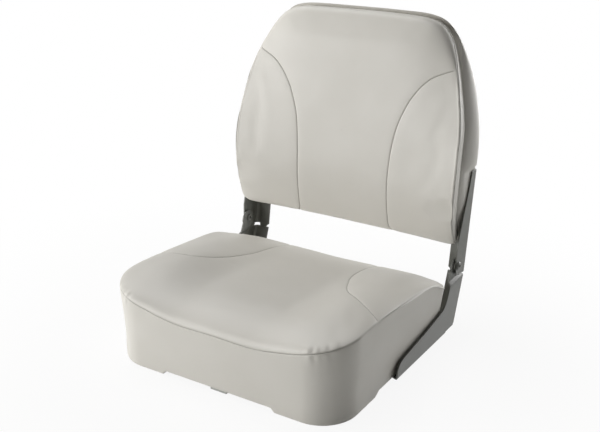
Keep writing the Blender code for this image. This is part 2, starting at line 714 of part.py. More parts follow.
def rear_line(low, high):
    """Rear edge of a plate as a function of height."""
    lean = (high[0] - low[0]) / (high[1] - low[1])
    return lean, lambda z: PIVOT_Y + low[0] + lean * (z - PIVOT_Z - low[1])


UPPER_LEAN, upper_rear = rear_line(UPPER_REAR_LOW, UPPER_REAR_HIGH)
LOWER_LEAN, lower_rear = rear_line(LOWER_REAR_LOW, LOWER_REAR_HIGH)
REAR_BEND_LENGTH = (REAR_BEND_RADIUS - SHEET / 2) * math.pi / 2
BASE_BEND_LENGTH = (BASE_BEND_RADIUS - SHEET / 2) * math.pi / 2
RETURN_LENGTH = RETURN_WIDTH - REAR_BEND_RADIUS


def sheet_blank(outline, cuts):
    """Flat blank in the YZ plane, one sheet thick towards +X, split along the given lines."""
    shape = bmesh.new()
    shape.faces.new([shape.verts.new((0, y, z)) for y, z in outline])
    for point, normal in cuts:
        bmesh.ops.bisect_plane(shape, geom=shape.verts[:] + shape.edges[:] + shape.faces[:],
                               plane_co=(0, *point), plane_no=(0, *normal), dist=GAP / 100)
    bmesh.ops.triangulate(shape, faces=shape.faces)
    grown = bmesh.ops.extrude_face_region(shape, geom=shape.faces[:])["geom"]
    for vert in grown:
        if isinstance(vert, bmesh.types.BMVert):
            vert.co.x = SHEET
    return shape


def fold_rear(point, rear_y):
    """Fold what lies behind the rear bend line round to the back of the seat."""
    past = point.y - (rear_y - REAR_BEND_RADIUS)
    if past <= 0:
        return point
    inner = REAR_BEND_RADIUS - (HINGE_SPAN / 2 - point.x)
    turn = min(past / REAR_BEND_LENGTH, 1) * math.pi / 2
    straight = max(past - REAR_BEND_LENGTH, 0)
    x = HINGE_SPAN / 2 - REAR_BEND_RADIUS + inner * math.cos(turn) - straight
    return Vector((x, rear_y - REAR_BEND_RADIUS + inner * math.sin(turn), point.z))


def fold_base(point, base_z):
    """Fold what lies below the base bend line in under the seat."""
    past = base_z + BASE_BEND_RADIUS - point.z
    if past <= 0:
        return point
    inner = BASE_BEND_RADIUS - (HINGE_SPAN / 2 - point.x)
    turn = min(past / BASE_BEND_LENGTH, 1) * math.pi / 2
    straight = max(past - BASE_BEND_LENGTH, 0)
    x = HINGE_SPAN / 2 - BASE_BEND_RADIUS + inner * math.cos(turn) - straight
    return Vector((x, point.y, base_z + BASE_BEND_RADIUS - inner * math.sin(turn)))


def rear_bend_cuts(low, lean):
    """Lines across the blank where the rear bend is faceted."""
    y = PIVOT_Y + low[0] - REAR_BEND_RADIUS
    z = PIVOT_Z + low[1]
    return [((y + REAR_BEND_LENGTH * i / BEND_STEPS, z), (1, -lean)) for i in range(BEND_STEPS + 1)]


def arc_points(centre, radius, start, end, steps):
    """Points on an arc in the side view, angles from +Y towards +Z."""
    return [(centre[0] + radius * math.cos(start + (end - start) * i / steps),
             centre[1] + radius * math.sin(start + (end - start) * i / steps)) for i in range(steps + 1)]


def folded(name, blank, fold, sign, look, holes):
    """Fold a blank, mirror it for the left side, and drill it."""
    for vert in blank.verts:
        vert.co = fold(Vector((HINGE_SPAN / 2 - vert.co.x, vert.co.y, vert.co.z)))
        vert.co.x *= sign
    made = finish_mesh(name, blank, look)
    combine(made, finish_mesh("drill", holes, None), "DIFFERENCE")
    return soften(made, math.radians(35))


def pivot_frame(sign):
    """Frame on the hinge line, its Z axis pointing out of the seat's side."""
    return frame_along((0, PIVOT_Y, PIVOT_Z), (sign, 0, 0))


def back_screw_frames(sign):
    """Frames on one side's backrest screws: origin on the return's rear face, Z axis going forwards."""
    normal = Vector((0, -1, UPPER_LEAN)).normalized()
    x = sign * (HINGE_SPAN / 2 - BACK_SCREW_INSET)
    heights = [PIVOT_Z + lift for lift in BACK_SCREW_LIFTS]
    return [frame_along((x, upper_rear(z), z), normal) for z in heights]


def hinge_upper(side, sign, look):
    """Backrest plate: long side plate, rear return with a stop tab, ear at the rivet."""
    low_z = PIVOT_Z + UPPER_REAR_LOW[1]
    high_z = PIVOT_Z + UPPER_REAR_HIGH[1]
    ear = (PIVOT_Y, PIVOT_Z - UPPER_EAR_DROP)
    outline = arc_points(ear, UPPER_EAR_RADIUS, math.radians(170), math.radians(270), 5)
    start = upper_rear(low_z) - REAR_BEND_RADIUS
    bend_end = start + REAR_BEND_LENGTH
    tab_low = low_z - STOP_GAP + GAP
    edge_end = bend_end + RETURN_LENGTH
    tab = (bend_end + STOP_TAB_START - REAR_BEND_RADIUS / 2, bend_end + STOP_TAB_END - REAR_BEND_RADIUS)
    outline += [(start, low_z), (tab[0], low_z), (tab[0], tab_low), (tab[1], tab_low),
                (tab[1] + STOP_NOTCH, low_z), (edge_end, low_z)]
    top_end = upper_rear(high_z) - REAR_BEND_RADIUS + REAR_BEND_LENGTH + RETURN_LENGTH
    corner = RETURN_LENGTH / 3
    outline += [(top_end - UPPER_LEAN * corner, high_z - corner), (top_end - corner, high_z)]
    outline += [(PIVOT_Y + y, PIVOT_Z + z) for y, z in smooth_path(UPPER_FRONT_EDGE, 2)]
    blank = sheet_blank(outline, rear_bend_cuts(UPPER_REAR_LOW, UPPER_LEAN))
    holes = bmesh.new()
    reach = HINGE_SPAN / 2 + OVERRUN
    post(holes, RIVET_RADIUS + RUNNING_GAP, reach - 2 * OVERRUN, reach, ROUND_STEPS, pivot_frame(sign))
    for frame in back_screw_frames(sign):
        post(holes, SCREW_RADIUS + SCREW_HOLE_SLACK, -OVERRUN / 2, OVERRUN / 2, SCREW_STEPS, frame)
    return folded(f"hinge_upper_{side}", blank, lambda p: fold_rear(p, upper_rear(p.z)), sign, look, holes)


def hinge_lower(side, sign, look):
    """Seat plate: tapering side plate, joggled ear, rear return and a base flange under the pan."""
    base_z = base_screw_seat()
    low_z = base_z + BASE_BEND_RADIUS + SHEET
    top_z = PIVOT_Z + UPPER_REAR_LOW[1] - STOP_GAP
    rear_top = lower_rear(top_z) - REAR_BEND_RADIUS
    end_top = rear_top + REAR_BEND_LENGTH + RETURN_LENGTH
    end_low = lower_rear(low_z) - REAR_BEND_RADIUS + REAR_BEND_LENGTH + RETURN_LENGTH
    ear = (PIVOT_Y + LOWER_EAR_SHIFT[0], PIVOT_Z + LOWER_EAR_SHIFT[1])
    outline = [(end_low, low_z), (end_top, top_z), (rear_top + GAP, top_z)]
    outline += arc_points(ear, LOWER_EAR_RADIUS, math.radians(-25), math.radians(195), 12)
    edge = [(PIVOT_Y + y, PIVOT_Z + z) for y, z in smooth_path(LOWER_FRONT_EDGE, 2)]
    outline += edge
    flange_low = base_z + BASE_BEND_RADIUS - BASE_BEND_LENGTH - (BASE_FLANGE_WIDTH - BASE_BEND_RADIUS)
    bend_low = base_z + BASE_BEND_RADIUS
    front = edge[-1][0]
    rear_cut = lower_rear(bend_low) - BASE_FLANGE_REAR_CUT
    outline += [(front, bend_low), (front + BASE_FLANGE_CORNER / 2, flange_low + BASE_FLANGE_CORNER),
                (front + BASE_FLANGE_CORNER * 1.5, flange_low), (rear_cut - BASE_FLANGE_CORNER, flange_low),
                (rear_cut, flange_low + BASE_FLANGE_CORNER), (rear_cut, bend_low + GAP),
                (lower_rear(bend_low) - REAR_BEND_RADIUS - GAP, bend_low + GAP),
                (lower_rear(low_z) - REAR_BEND_RADIUS - GAP, low_z)]
    cuts = rear_bend_cuts(LOWER_REAR_LOW, LOWER_LEAN)
    cuts += [((PIVOT_Y, base_z + BASE_BEND_RADIUS - BASE_BEND_LENGTH * i / BEND_STEPS), (0, 1))
             for i in range(BEND_STEPS + 1)]
    line_low, normal = joggle_line()
    line_high = line_low + normal * JOGGLE_RAMP
    cuts += [(tuple(line), tuple(normal)) for line in (line_low, line_high)]
    blank = sheet_blank(outline, cuts)

    def fold(point):
        past = (Vector((point.y, point.z)) - line_low).dot(normal)
        if past > 0 and point.y < lower_rear(point.z) - REAR_BEND_RADIUS:
            point.x -= JOGGLE * min(past / JOGGLE_RAMP, 1)
            return point
        if point.z < bend_low:
            return fold_base(point, base_z)
        return fold_rear(point, lower_rear(point.z))

    holes = bmesh.new()
    reach = HINGE_SPAN / 2 + OVERRUN
    post(holes, RIVET_RADIUS + RUNNING_GAP, reach - 2 * OVERRUN, reach, ROUND_STEPS, pivot_frame(sign))
    for x, y in base_screw_places(sign):
        place = Matrix.Translation((x, y, base_z))
        post(holes, SCREW_RADIUS + SCREW_HOLE_SLACK, -OVERRUN / 2, OVERRUN / 2, SCREW_STEPS, place)
    return folded(f"hinge_lower_{side}", blank, fold, sign, look, holes)


def joggle_line():
    """A point on the line where the ear starts to step inwards, and the direction up across it."""
    rear = Vector(JOGGLE_LINE_REAR) + Vector((PIVOT_Y, PIVOT_Z))
    front = Vector(JOGGLE_LINE_FRONT) + Vector((PIVOT_Y, PIVOT_Z))
    along = (rear - front).normalized()
    return front, Vector((-along.y, along.x))


def pivot_rivet(side, sign, look):
    """Domed rivet through both ears, its tail spread inside the seat's ear."""
    outside = HINGE_SPAN / 2 + GAP
    inside = HINGE_SPAN / 2 - JOGGLE - SHEET - GAP
    profile = [(0, inside - RIVET_TAIL_HEIGHT), (RIVET_TAIL_RADIUS * 0.75, inside - RIVET_TAIL_HEIGHT),
               (RIVET_TAIL_RADIUS, inside - RIVET_TAIL_HEIGHT * 0.6), (RIVET_TAIL_RADIUS, inside),
               (RIVET_RADIUS, inside), (RIVET_RADIUS, outside), (RIVET_HEAD_RADIUS, outside),
               (RIVET_HEAD_RADIUS * 0.92, outside + RIVET_HEAD_HEIGHT * 0.42),
               (RIVET_HEAD_RADIUS * 0.68, outside + RIVET_HEAD_HEIGHT * 0.78),
               (RIVET_HEAD_RADIUS * 0.35, outside + RIVET_HEAD_HEIGHT * 0.96),
                (0, outside + RIVET_HEAD_HEIGHT)]
    return soften(turned(f"pivot_rivet_{side}", profile, look, ROUND_STEPS, pivot_frame(sign)))


def pivot_washer(side, sign, look):
    """Nylon washer between the two ears."""
    low = HINGE_SPAN / 2 - SHEET - GAP - WASHER_THICKNESS
    high = low + WASHER_THICKNESS
    bore = RIVET_RADIUS + RUNNING_GAP
    profile = [(bore, low), (PIVOT_WASHER_RADIUS, low), (PIVOT_WASHER_RADIUS, high), (bore, high)]
    return soften(turned(f"pivot_washer_{side}", profile, look, ROUND_STEPS, pivot_frame(sign)))


# Backrest cushion surfaces

def back_outline(inset):
    """Half of the backrest's outline as (x, z), bottom centre to top centre, drawn in on all sides."""
    half_width = BACK_HALF_WIDTH - inset
    height = BACK_HEIGHT - 2 * inset
    return [(half_width * u, BACK_BOTTOM + inset + height * v) for u, v in BACK_OUTLINE_SHARES]


def back_seam_y(z):
    """Depth of the front seam at a height of the outline."""
    return PIVOT_Y + BACK_ROLL_DEPTH * smooth_table(BACK_SEAM_SHARES, (z - BACK_BOTTOM) / BACK_HEIGHT)


def back_face_y(x, z):
    """Front face of the backrest, without its rolled edges: leaning back, with both sides coming forwards."""
    height_share = (z - BACK_BOTTOM) / BACK_HEIGHT
    centre = BACK_ROLL_DEPTH * smooth_table(BACK_FACE_SHARES, height_share)
    wing = BACK_WING_DEPTH * smooth_table(BACK_WING_SHARES, height_share) * (x / BACK_HALF_WIDTH) ** 2
    return PIVOT_Y + centre - wing


def back_rear_y(z):
    """Rear face: flat against the hinge returns, and less steep above them."""
    flatten = PIVOT_Z + BACK_REAR_FLATTEN_LIFT
    face = upper_rear(min(z, flatten)) - SHEET - GAP
    above = max(0, z - flatten) / (BACK_BOTTOM + BACK_HEIGHT - flatten)
    return face + BACK_REAR_CROWN * math.sin(min(above, 1) * math.pi / 2)


def back_centre_z():
    return BACK_BOTTOM + BACK_HEIGHT * BACK_CENTRE_SHARE


def back_front_rings(inset, shares):
    """Rings of the front face at shares of the way out, from the middle outwards, ending at the seam."""
    middle = back_centre_z()
    rings = []
    for ring_share in (*reversed(shares), 1):
        half = []
        for (_, z_seam), (x, z) in zip(back_outline(0), back_outline(inset)):
            px, pz = x * ring_share, middle + (z - middle) * ring_share
            y = rolled(ring_share, BACK_FRONT_ROLL_SHARE, back_seam_y(z_seam), back_face_y(px, pz))
            half.append(Vector((px, y + inset, pz)))
        rings.append(mirrored_ring(half))
    return rings


def above_hinges(z):
    """0 beside and behind the hinges, 1 higher up."""
    return smooth_step((z - PIVOT_Z - UPPER_REAR_HIGH[1]) / (2 * BACK_REAR_ROUND))


def back_bulge_inset(z):
    """The rear half swells past the seam above the hinges and stays inside them below."""
    return BACK_BULGE_IN - (BACK_BULGE_OUT + BACK_BULGE_IN) * above_hinges(z)


def back_rear_round(z):
    """Radius of the rear edge: small where the hinges lie flat against the rear face."""
    return BACK_HINGE_ROUND + (BACK_REAR_ROUND - BACK_HINGE_ROUND) * above_hinges(z)


def back_side_rings(inset):
    """Rings behind the seam: the sewn valley, the swell, and two on the rounded rear edge."""
    rings = [[], [], [], []]
    for i, (_, z) in enumerate(back_outline(0)):
        top = smooth_step((z - back_centre_z()) / (BACK_HEIGHT * (1 - BACK_CENTRE_SHARE)))
        seam = back_seam_y(z)
        rear = back_rear_y(z) - inset
        band = min(BACK_BOXING_DEPTH + (BACK_BOXING_TOP_DEPTH - BACK_BOXING_DEPTH) * top, (rear - seam) / 2)
        bulge = back_bulge_inset(z)
        edge = back_rear_round(z)
        turn = rear - edge * 0.55
        stations = ((seam + band, BACK_VALLEY_INSET), ((seam + band + turn) / 2, bulge),
                    (turn, bulge + edge * 0.10), (rear - edge * 0.13, bulge + edge * 0.46))
        for ring, (depth, move) in zip(rings, stations):
            x, z_moved = back_outline(inset + move)[i]
            ring.append(Vector((x, depth, z_moved)))
    return [mirrored_ring(ring) for ring in rings]


def back_rear_rings(inset):
    """Rings of the rear face, from its edge to part of the way in."""
    middle = back_centre_z()
    rings = []
    for ring_share in (1, *BACK_REAR_RING_SHARES):
        half = []
        for i, (_, z_seam) in enumerate(back_outline(0)):
            x, z = back_outline(inset + back_bulge_inset(z_seam) + back_rear_round(z_seam))[i]
            pz = middle + (z - middle) * ring_share
            half.append(Vector((x * ring_share, back_rear_y(pz) - inset, pz)))
        rings.append(mirrored_ring(half))
    return rings


def back_cover(look):
    """Vinyl bag over the frame and foam, with its mouth along the bottom edge."""
    middle = back_centre_z()
    front = Vector((0, back_face_y(0, middle), middle))
    rear = Vector((0, back_rear_y(middle), middle))
    rings = back_front_rings(0, BACK_RING_SHARES) + back_side_rings(0) + back_rear_rings(0)
    made = loft("back_cover", rings, look, start=front, end=rear)
    inset = Vector((0, COVER_THICKNESS, 0))
    rings = back_front_rings(inset.y, BACK_INNER_RING_SHARES) + back_side_rings(inset.y)
    inside = loft("inside", rings + back_rear_rings(inset.y), None, start=front + inset, end=rear - inset)
    combine(made, inside, "DIFFERENCE")
    line = [(BACK_HALF_WIDTH * u, PIVOT_Y - 2 * BACK_ROLL_DEPTH, BACK_BOTTOM + BACK_HEIGHT * v)
            for u, v in BACK_ARC_SHARES]
    stitch_arcs(made, smooth_path(line, 3), Vector((0, 1, 0)))
    openings = bmesh.new()
    mouth_y = back_rear_y(BACK_BOTTOM) - COVER_THICKNESS - BACK_REAR_ROUND / 4
    block(openings, (-BACK_MOUTH_WIDTH / 2, mouth_y - BACK_MOUTH_DEPTH, BACK_BOTTOM - OVERRUN),
          (BACK_MOUTH_WIDTH / 2, mouth_y, BACK_BOTTOM + 2 * COVER_THICKNESS))
    combine(made, finish_mesh("mouth", openings, None), "DIFFERENCE")
    holes = bmesh.new()
    for frame in (*back_screw_frames(-1), *back_screw_frames(1)):
        post(holes, SCREW_RADIUS + CLOTH_HOLE_SLACK, 0, OVERRUN, CLOTH_HOLE_STEPS, frame)
    combine(made, finish_mesh("screw_holes", holes, None), "DIFFERENCE")
    return soften(made)


def back_board_plane(z, clear):
    """Where the frame ends and the foam begins."""
    return back_rear_y(z) - COVER_THICKNESS - GAP - FRAME_DEPTH - clear


def back_board_rings(inset, clear):
    """Rings on the plane between the frame and the foam, outside and part of the way in."""
    middle = back_centre_z()
    rings = []
    for ring_share in (1, BOARD_RING_SHARE):
        half = []
        for x, z in back_outline(inset + BACK_VALLEY_INSET):
            pz = middle + (z - middle) * ring_share
            half.append(Vector((x * ring_share, back_board_plane(pz, clear), pz)))
        rings.append(mirrored_ring(half))
    return rings


def back_foam(look):
    """Foam pad between the cover's front and the frame."""
    inset = COVER_THICKNESS + FOAM_GAP
    middle = back_centre_z()
    board, inner_board = back_board_rings(inset, GAP)
    valley = [Vector((p.x, min(p.y, plane.y - GAP), p.z))
              for p, plane in zip(back_side_rings(inset)[0], board)]
    rings = back_front_rings(inset, BACK_INNER_RING_SHARES) + [valley, board, inner_board]
    return soften(loft("back_foam", rings, look, start=Vector((0, back_face_y(0, middle) + inset, middle)),
                       end=Vector((0, back_board_plane(middle, GAP), middle))))


def back_frame(look):
    """Moulded board: flat to the rear, ribbed towards the foam, with bosses for the hinge screws."""
    inset = COVER_THICKNESS + GAP
    middle = back_centre_z()
    board, inner_board = back_board_rings(inset, 0)
    valley, _, *edges = back_side_rings(inset)
    valley = [Vector((p.x, max(p.y, plane.y + GAP), p.z)) for p, plane in zip(valley, board)]
    rings = [inner_board, board, valley, *edges, *back_rear_rings(inset)]
    rear = Vector((0, back_rear_y(middle) - inset, middle))
    made = loft("back_frame", rings, look, start=Vector((0, back_board_plane(middle, 0), middle)), end=rear)

    pockets = bmesh.new()
    limits = back_outline(inset + FRAME_RIM)
    half_width = max(x for x, _ in limits)
    for xs in pocket_spans(FRAME_PITCH, FRAME_RIB, -half_width, half_width, offset=0.5):
        for zs in pocket_spans(FRAME_PITCH, FRAME_RIB, limits[0][1] - middle, limits[-1][1] - middle):
            if inside_half(abs(outermost(xs)), middle + outermost(zs), limits):
                low, high = (middle + z for z in zs)
                floor = min(back_rear_y(low), back_rear_y(high)) - inset - FRAME_SKIN
                start = back_board_plane(low, 0) - OVERRUN
                block(pockets, (xs[0], start, low), (xs[1], floor, high))
    combine(made, finish_mesh("pockets", pockets, None), "DIFFERENCE")
    near = SHEET + 3 * GAP + COVER_THICKNESS + FRAME_SKIN / 2
    for sign in (-1, 1):
        bosses = bmesh.new()
        for frame in back_screw_frames(sign):
            post(bosses, SCREW_BOSS_RADIUS, near, near + FRAME_DEPTH - FRAME_SKIN, SCREW_STEPS, frame)
        combine(made, finish_mesh("bosses", bosses, None), "UNION")
    holes = bmesh.new()
    for frame in (*back_screw_frames(-1), *back_screw_frames(1)):
        post(holes, SCREW_RADIUS + GAP, 0, SCREW_LENGTH + GAP, SCREW_STEPS, frame)
    combine(made, finish_mesh("frame_holes", holes, None), "DIFFERENCE")
    return made


def inside_half(x, height, half):
    """Whether a point with positive x lies inside a half outline given as (x, height) points."""
    crossings = 0
    for (x0, low), (x1, high) in zip(half, half[1:]):
        if (low > height) != (high > height):
            crossings += x0 + (height - low) * (x1 - x0) / (high - low) > x
    return crossings % 2 == 1


def build():
    for old in list(bpy.data.objects):
        bpy.data.objects.remove(old)
    vinyl = material("vinyl", VINYL)
    foam = material("foam", FOAM)
    plastic = material("moulded_plastic", MOULDED_PLASTIC)
    paint = material("hinge_paint", HINGE_PAINT)
    steel = material("fastener_steel", FASTENER_STEEL)
    nylon = material("nylon", NYLON)
    brass = material("brass", BRASS)

    pivot = bpy.data.objects.new("backrest_pivot", None)
    pivot.location = (0, PIVOT_Y, PIVOT_Z)
    bpy.context.scene.collection.objects.link(pivot)

    seat_cover(vinyl)
    seat_foam(foam)
    seat_pan(plastic)
    for name, (x, y) in mount_places().items():
        mount_insert(f"mount_insert_{name}", x, y, brass)
    hang_on(back_cover(vinyl), pivot)
    hang_on(back_foam(foam), pivot)
    hang_on(back_frame(plastic), pivot)
    for side, sign in (("left", -1), ("right", 1)):
        hinge_lower(side, sign, paint)
        hang_on(hinge_upper(side, sign, paint), pivot)
        pivot_rivet(side, sign, steel)
        pivot_washer(side, sign, nylon)
        for number, (x, y) in enumerate(base_screw_places(sign), 1):
            screw(f"base_screw_{side}_{number}", (x, y, base_screw_seat()), (0, 0, 1), steel)
        for number, frame in enumerate(back_screw_frames(sign), 1):
            made = screw(f"back_screw_{side}_{number}", frame.translation, frame.col[2].xyz, steel)
            hang_on(made, pivot)


build()
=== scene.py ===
import math

import bmesh
import bpy
import numpy as np
from mathutils import Matrix, Vector, noise
from mathutils.bvhtree import BVHTree
from mathutils.kdtree import KDTree


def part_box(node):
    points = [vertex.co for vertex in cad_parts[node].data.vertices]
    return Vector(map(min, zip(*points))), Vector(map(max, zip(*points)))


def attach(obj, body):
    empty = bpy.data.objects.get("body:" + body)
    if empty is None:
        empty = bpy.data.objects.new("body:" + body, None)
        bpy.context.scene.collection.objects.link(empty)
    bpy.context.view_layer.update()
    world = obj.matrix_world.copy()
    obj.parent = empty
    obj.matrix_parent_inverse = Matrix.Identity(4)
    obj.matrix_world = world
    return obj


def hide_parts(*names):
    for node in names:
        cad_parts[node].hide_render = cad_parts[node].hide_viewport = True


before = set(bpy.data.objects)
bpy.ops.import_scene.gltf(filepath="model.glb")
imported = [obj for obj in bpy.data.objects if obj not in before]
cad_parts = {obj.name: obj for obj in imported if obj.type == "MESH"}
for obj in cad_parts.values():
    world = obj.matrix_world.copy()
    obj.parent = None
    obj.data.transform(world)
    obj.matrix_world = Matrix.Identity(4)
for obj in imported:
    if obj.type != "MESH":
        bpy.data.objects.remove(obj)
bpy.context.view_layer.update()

# Seat, in metres. Hem and seam are half width, front, rear and radius of the front corners.
# The seam, centre and bolster rows are (share of the depth, share of the height), the arcs are
# (share of the half width, share of the depth)
SEAT_HEM = (0.1985, -0.165, 0.170, 0.056)
SEAT_SEAM = (0.205, -0.169, 0.171, 0.062)
SEAT_DEPTH = SEAT_SEAM[2] - SEAT_SEAM[1]
SEAT_REAR_TURN = 0.021
SEAT_HEIGHT = 0.1335
SEAT_MIDDLE_Y = -0.005
SEAT_ROLL_START = 0.70
SIDE_DRAW_IN = 0.0012
SKIN_LOW = 0.0035
HEM_LEVEL = 0.006
HEM_WIDTH = 0.020
COVER_THICKNESS = 0.004
PAN_TOP = 0.0283
# The hem's way in under the pan and up behind the boxing, as (distance in, height)
HEM_CUT = HEM_LEVEL + 0.0045
HEM_STEPS = (
    (0.0, 0.0080), (0.0002, 0.0070), (0.0008, 0.0063), (0.0020, HEM_LEVEL), (0.008, HEM_LEVEL), (0.014, HEM_LEVEL),
    (HEM_WIDTH, HEM_LEVEL), (HEM_WIDTH, HEM_LEVEL + 0.0012), (COVER_THICKNESS, HEM_LEVEL + 0.0012),
    (COVER_THICKNESS, 0.012), (COVER_THICKNESS, 0.020), (COVER_THICKNESS, PAN_TOP),
)
FOOT_FRONT_X = 0.098
FOOT_SIDE_Y = -0.0525
FOOT_RAMP = 0.005
FOOT_TOP = 0.027
FOOT_LOW = 0.010
FOOT_DROP = 0.006
RIM_PROUD = 0.0007
FRONT_CORNER = (0.170, -0.158)
FRONT_CORNER_REACH = 0.024
GATHER_DEPTH = 0.0023
GATHER_SPACING = 0.0070
BOLSTER_START = 0.062
BOLSTER_CREST = 0.168
SEAT_SEAM_SHARES = (
    (0.0, 0.692), (0.097, 0.692), (0.180, 0.765), (0.229, 0.832), (0.336, 0.937), (0.409, 0.935),
    (0.486, 0.911), (0.564, 0.880), (0.600, 0.869), (0.640, 0.838), (0.670, 0.778), (0.696, 0.705),
    (0.719, 0.656), (0.742, 0.658), (0.775, 0.685), (0.820, 0.693), (1.0, 0.670),
)
SEAT_CENTRE_SHARES = (
    (0.0, 0.872), (0.097, 0.890), (0.193, 0.893), (0.347, 0.872), (0.531, 0.838), (0.724, 0.803),
    (0.868, 0.770), (1.0, 0.722),
)
SEAT_BOLSTER_SHARES = (
    (0.0, 0.930), (0.116, 0.965), (0.289, 1.0), (0.434, 0.985), (0.560, 0.955), (0.724, 0.905),
    (0.868, 0.825), (0.935, 0.780), (1.0, 0.735),
)
SEAT_ARC_LEFT = (
    (0.430, 1.0), (0.432, 0.93), (0.433, 0.86), (0.436, 0.78), (0.447, 0.71), (0.466, 0.65),
    (0.493, 0.60), (0.522, 0.555), (0.558, 0.512), (0.61, 0.466), (0.687, 0.420), (0.755, 0.402),
    (0.832, 0.393), (0.90, 0.388), (0.986, 0.384),
)
SEAT_ARC_RIGHT = (
    (0.395, 1.0), (0.397, 0.93), (0.399, 0.85), (0.407, 0.76), (0.424, 0.70), (0.448, 0.65),
    (0.482, 0.60), (0.522, 0.555), (0.577, 0.504), (0.632, 0.468), (0.69, 0.438), (0.748, 0.411),
    (0.81, 0.383), (0.87, 0.358), (0.93, 0.333), (0.984, 0.311),
)
SEAT_PUFF = 0.0028
SEAT_CLEAR_OF_PLATES = 0.2030
# The lower hinge plates' front edge, as (depth, height)
HINGE_EDGE = (
    (-0.002, 0.012), (0.0, 0.019), (0.0055, 0.0265), (0.017, 0.0308), (0.043, 0.0338), (0.086, 0.0388),
    (0.128, 0.0452), (0.1515, 0.0498), (0.159, 0.0535), (0.1655, 0.060), (0.171, 0.069), (0.175, 0.078),
)

# The hinges' pivot as (depth, height), the furthest fold in radians and the room left there
PIVOT = (0.204, 0.109)
FOLD_TURN = 1.2392
FOLD_GAP = 0.0007
FOLD_TOUCH_Z = 0.160

# Backrest, in metres. The outline and arc rows are (share of the half width, share of the height),
# the others (share of the height, share of the depth)
BACK_HALF_WIDTH = 0.2036
BACK_BOTTOM = 0.146
BACK_HEIGHT = 0.343
BACK_MIDDLE_Z = 0.30378
BACK_ROLL_START = 0.74
BACK_ROLL_POWER = 3.0
BACK_ROLL_DEPTH = 0.050
BACK_WING_DEPTH = 0.015
BACK_BAND = 0.027
BACK_BAND_TOP = 0.014
BACK_VALLEY = 0.0030
BACK_SWELL_OUT = 0.0055
BACK_SWELL_TOP = 0.0030
BACK_SWELL_IN = -0.0022
# How quickly the shell swells behind the valley, and the share of the rear edge's radius where it ends
SWELL_POWER = 0.8
EDGE_DEPTH = 0.9
BACK_REAR_TURN = 0.016
BACK_HINGE_TURN = 0.007
BACK_FLATTEN_Z = 0.300
BACK_REAR_CROWN = 0.0116
MOUTH_HALF = 0.150
# How far the skin is drawn in before it is stuffed, here outwards
BACK_PROUD = -0.0003
BACK_PUFF = 0.0025
BACK_CLEAR_OF_PLATES = 0.2032
PLATE_TO_SHELL = 0.0028
PLATE_TO_COVER = 0.0027
# Where the upper hinge plates lie beside the backrest, and where their returns lie on its rear
BESIDE_PLATES_Z, PLATES_FRONT_Y = 0.262, 0.18
UNDER_RETURNS_X, UNDER_RETURNS_Z = 0.172, 0.260
HINGE_TOP_Z = 0.2545
# The upper hinge plates' rear: a depth, its height and the lean
HINGE_REAR = (0.2322, 0.0900, 0.15380)
BACK_OUTLINE_SHARES = (
    (0.0, 0.0), (0.37, -0.001), (0.74, -0.003), (0.88, -0.005), (0.945, -0.004), (0.974, 0.002),
    (0.986, 0.016), (0.987, 0.050), (0.986, 0.095), (0.990, 0.162), (0.997, 0.250), (1.0, 0.342),
    (0.996, 0.432), (0.985, 0.522), (0.960, 0.612), (0.925, 0.703), (0.873, 0.793), (0.801, 0.883),
    (0.741, 0.935), (0.670, 0.971), (0.58, 0.989), (0.47, 0.997), (0.23, 1.0), (0.0, 1.0),
)
BACK_SEAM_SHARES = (
    (0.0, 0.03), (0.015, -0.13), (0.043, -0.27), (0.085, -0.40), (0.162, -0.556), (0.252, -0.608),
    (0.342, -0.572), (0.432, -0.464), (0.522, -0.276), (0.612, -0.112), (0.703, 0.058), (0.793, 0.334),
    (0.883, 0.684), (0.935, 0.84), (0.973, 0.89), (1.0, 0.82),
)
BACK_FACE_SHARES = (
    (0.0, -0.20), (0.06, -0.26), (0.19, -0.35), (0.34, -0.26), (0.52, -0.10), (0.70, 0.07),
    (0.85, 0.21), (1.0, 0.40),
)
BACK_WING_SHARES = ((0.0, 0.5), (0.15, 0.9), (0.34, 1.0), (0.50, 0.75), (0.65, 0.25), (0.80, 0.0), (1.0, 0.0))
BACK_ARC_SHARES = (
    (0.440, 0.0), (0.418, 0.030), (0.415, 0.085), (0.413, 0.15), (0.413, 0.22), (0.414, 0.285),
    (0.420, 0.355), (0.430, 0.42), (0.445, 0.48), (0.466, 0.53), (0.495, 0.577), (0.537, 0.632),
    (0.59, 0.680), (0.65, 0.722), (0.715, 0.752), (0.772, 0.768), (0.852, 0.787),
)

# Mesh rows and points of the two cushions
FRONT_POINTS, CORNER_POINTS, SIDE_POINTS, REAR_CORNER_POINTS, REAR_POINTS = 26, 25, 43, 15, 30
OUTLINE_POINTS = 139
BOXING_ROWS, ROLL_ROWS, FACE_ROWS = 22, 16, 25
BAND_ROWS, SWELL_ROWS, EDGE_ROWS, REAR_ROWS = 5, 6, 7, 29
FACE_MIDDLE = 0.02
SEAM_POINTS, SEAT_ARC_POINTS, BACK_ARC_POINTS, MOUTH_POINTS = 1500, 300, 320, 200
SEAM_REACHES = (0.010, 0.005, 0.0022)
BESIDE_SEAM = 0.012
ABOVE_SEAT = 0.3

# Sewn lines: depth of the groove, of the wider dip and of the gathers, and the height of the welt
SEAT_SEAM_SEWN, SEAT_ARC_SEWN = (0.0009, 0.0005, 0.0002), (0.0006, 0.0006, 0.0002)
BACK_SEAM_SEWN, BACK_ARC_SEWN = (0.0006, 0.0003, 0.0001), (0.0006, 0.0005, 0.0001)
VALLEY_SEWN, MOUTH_SEWN = (0.0008, 0.0008, 0.0002), (0.0018, 0.0014, 0.0012)
SEAT_WELT, BACK_WELT = 0.0016, 0.0003
GROOVE_MM, DIP_MM, WELT_MM = 1.3, 7.0, 2.6
LONG_GATHER_MM, SHORT_GATHER_MM = 11, 4.7
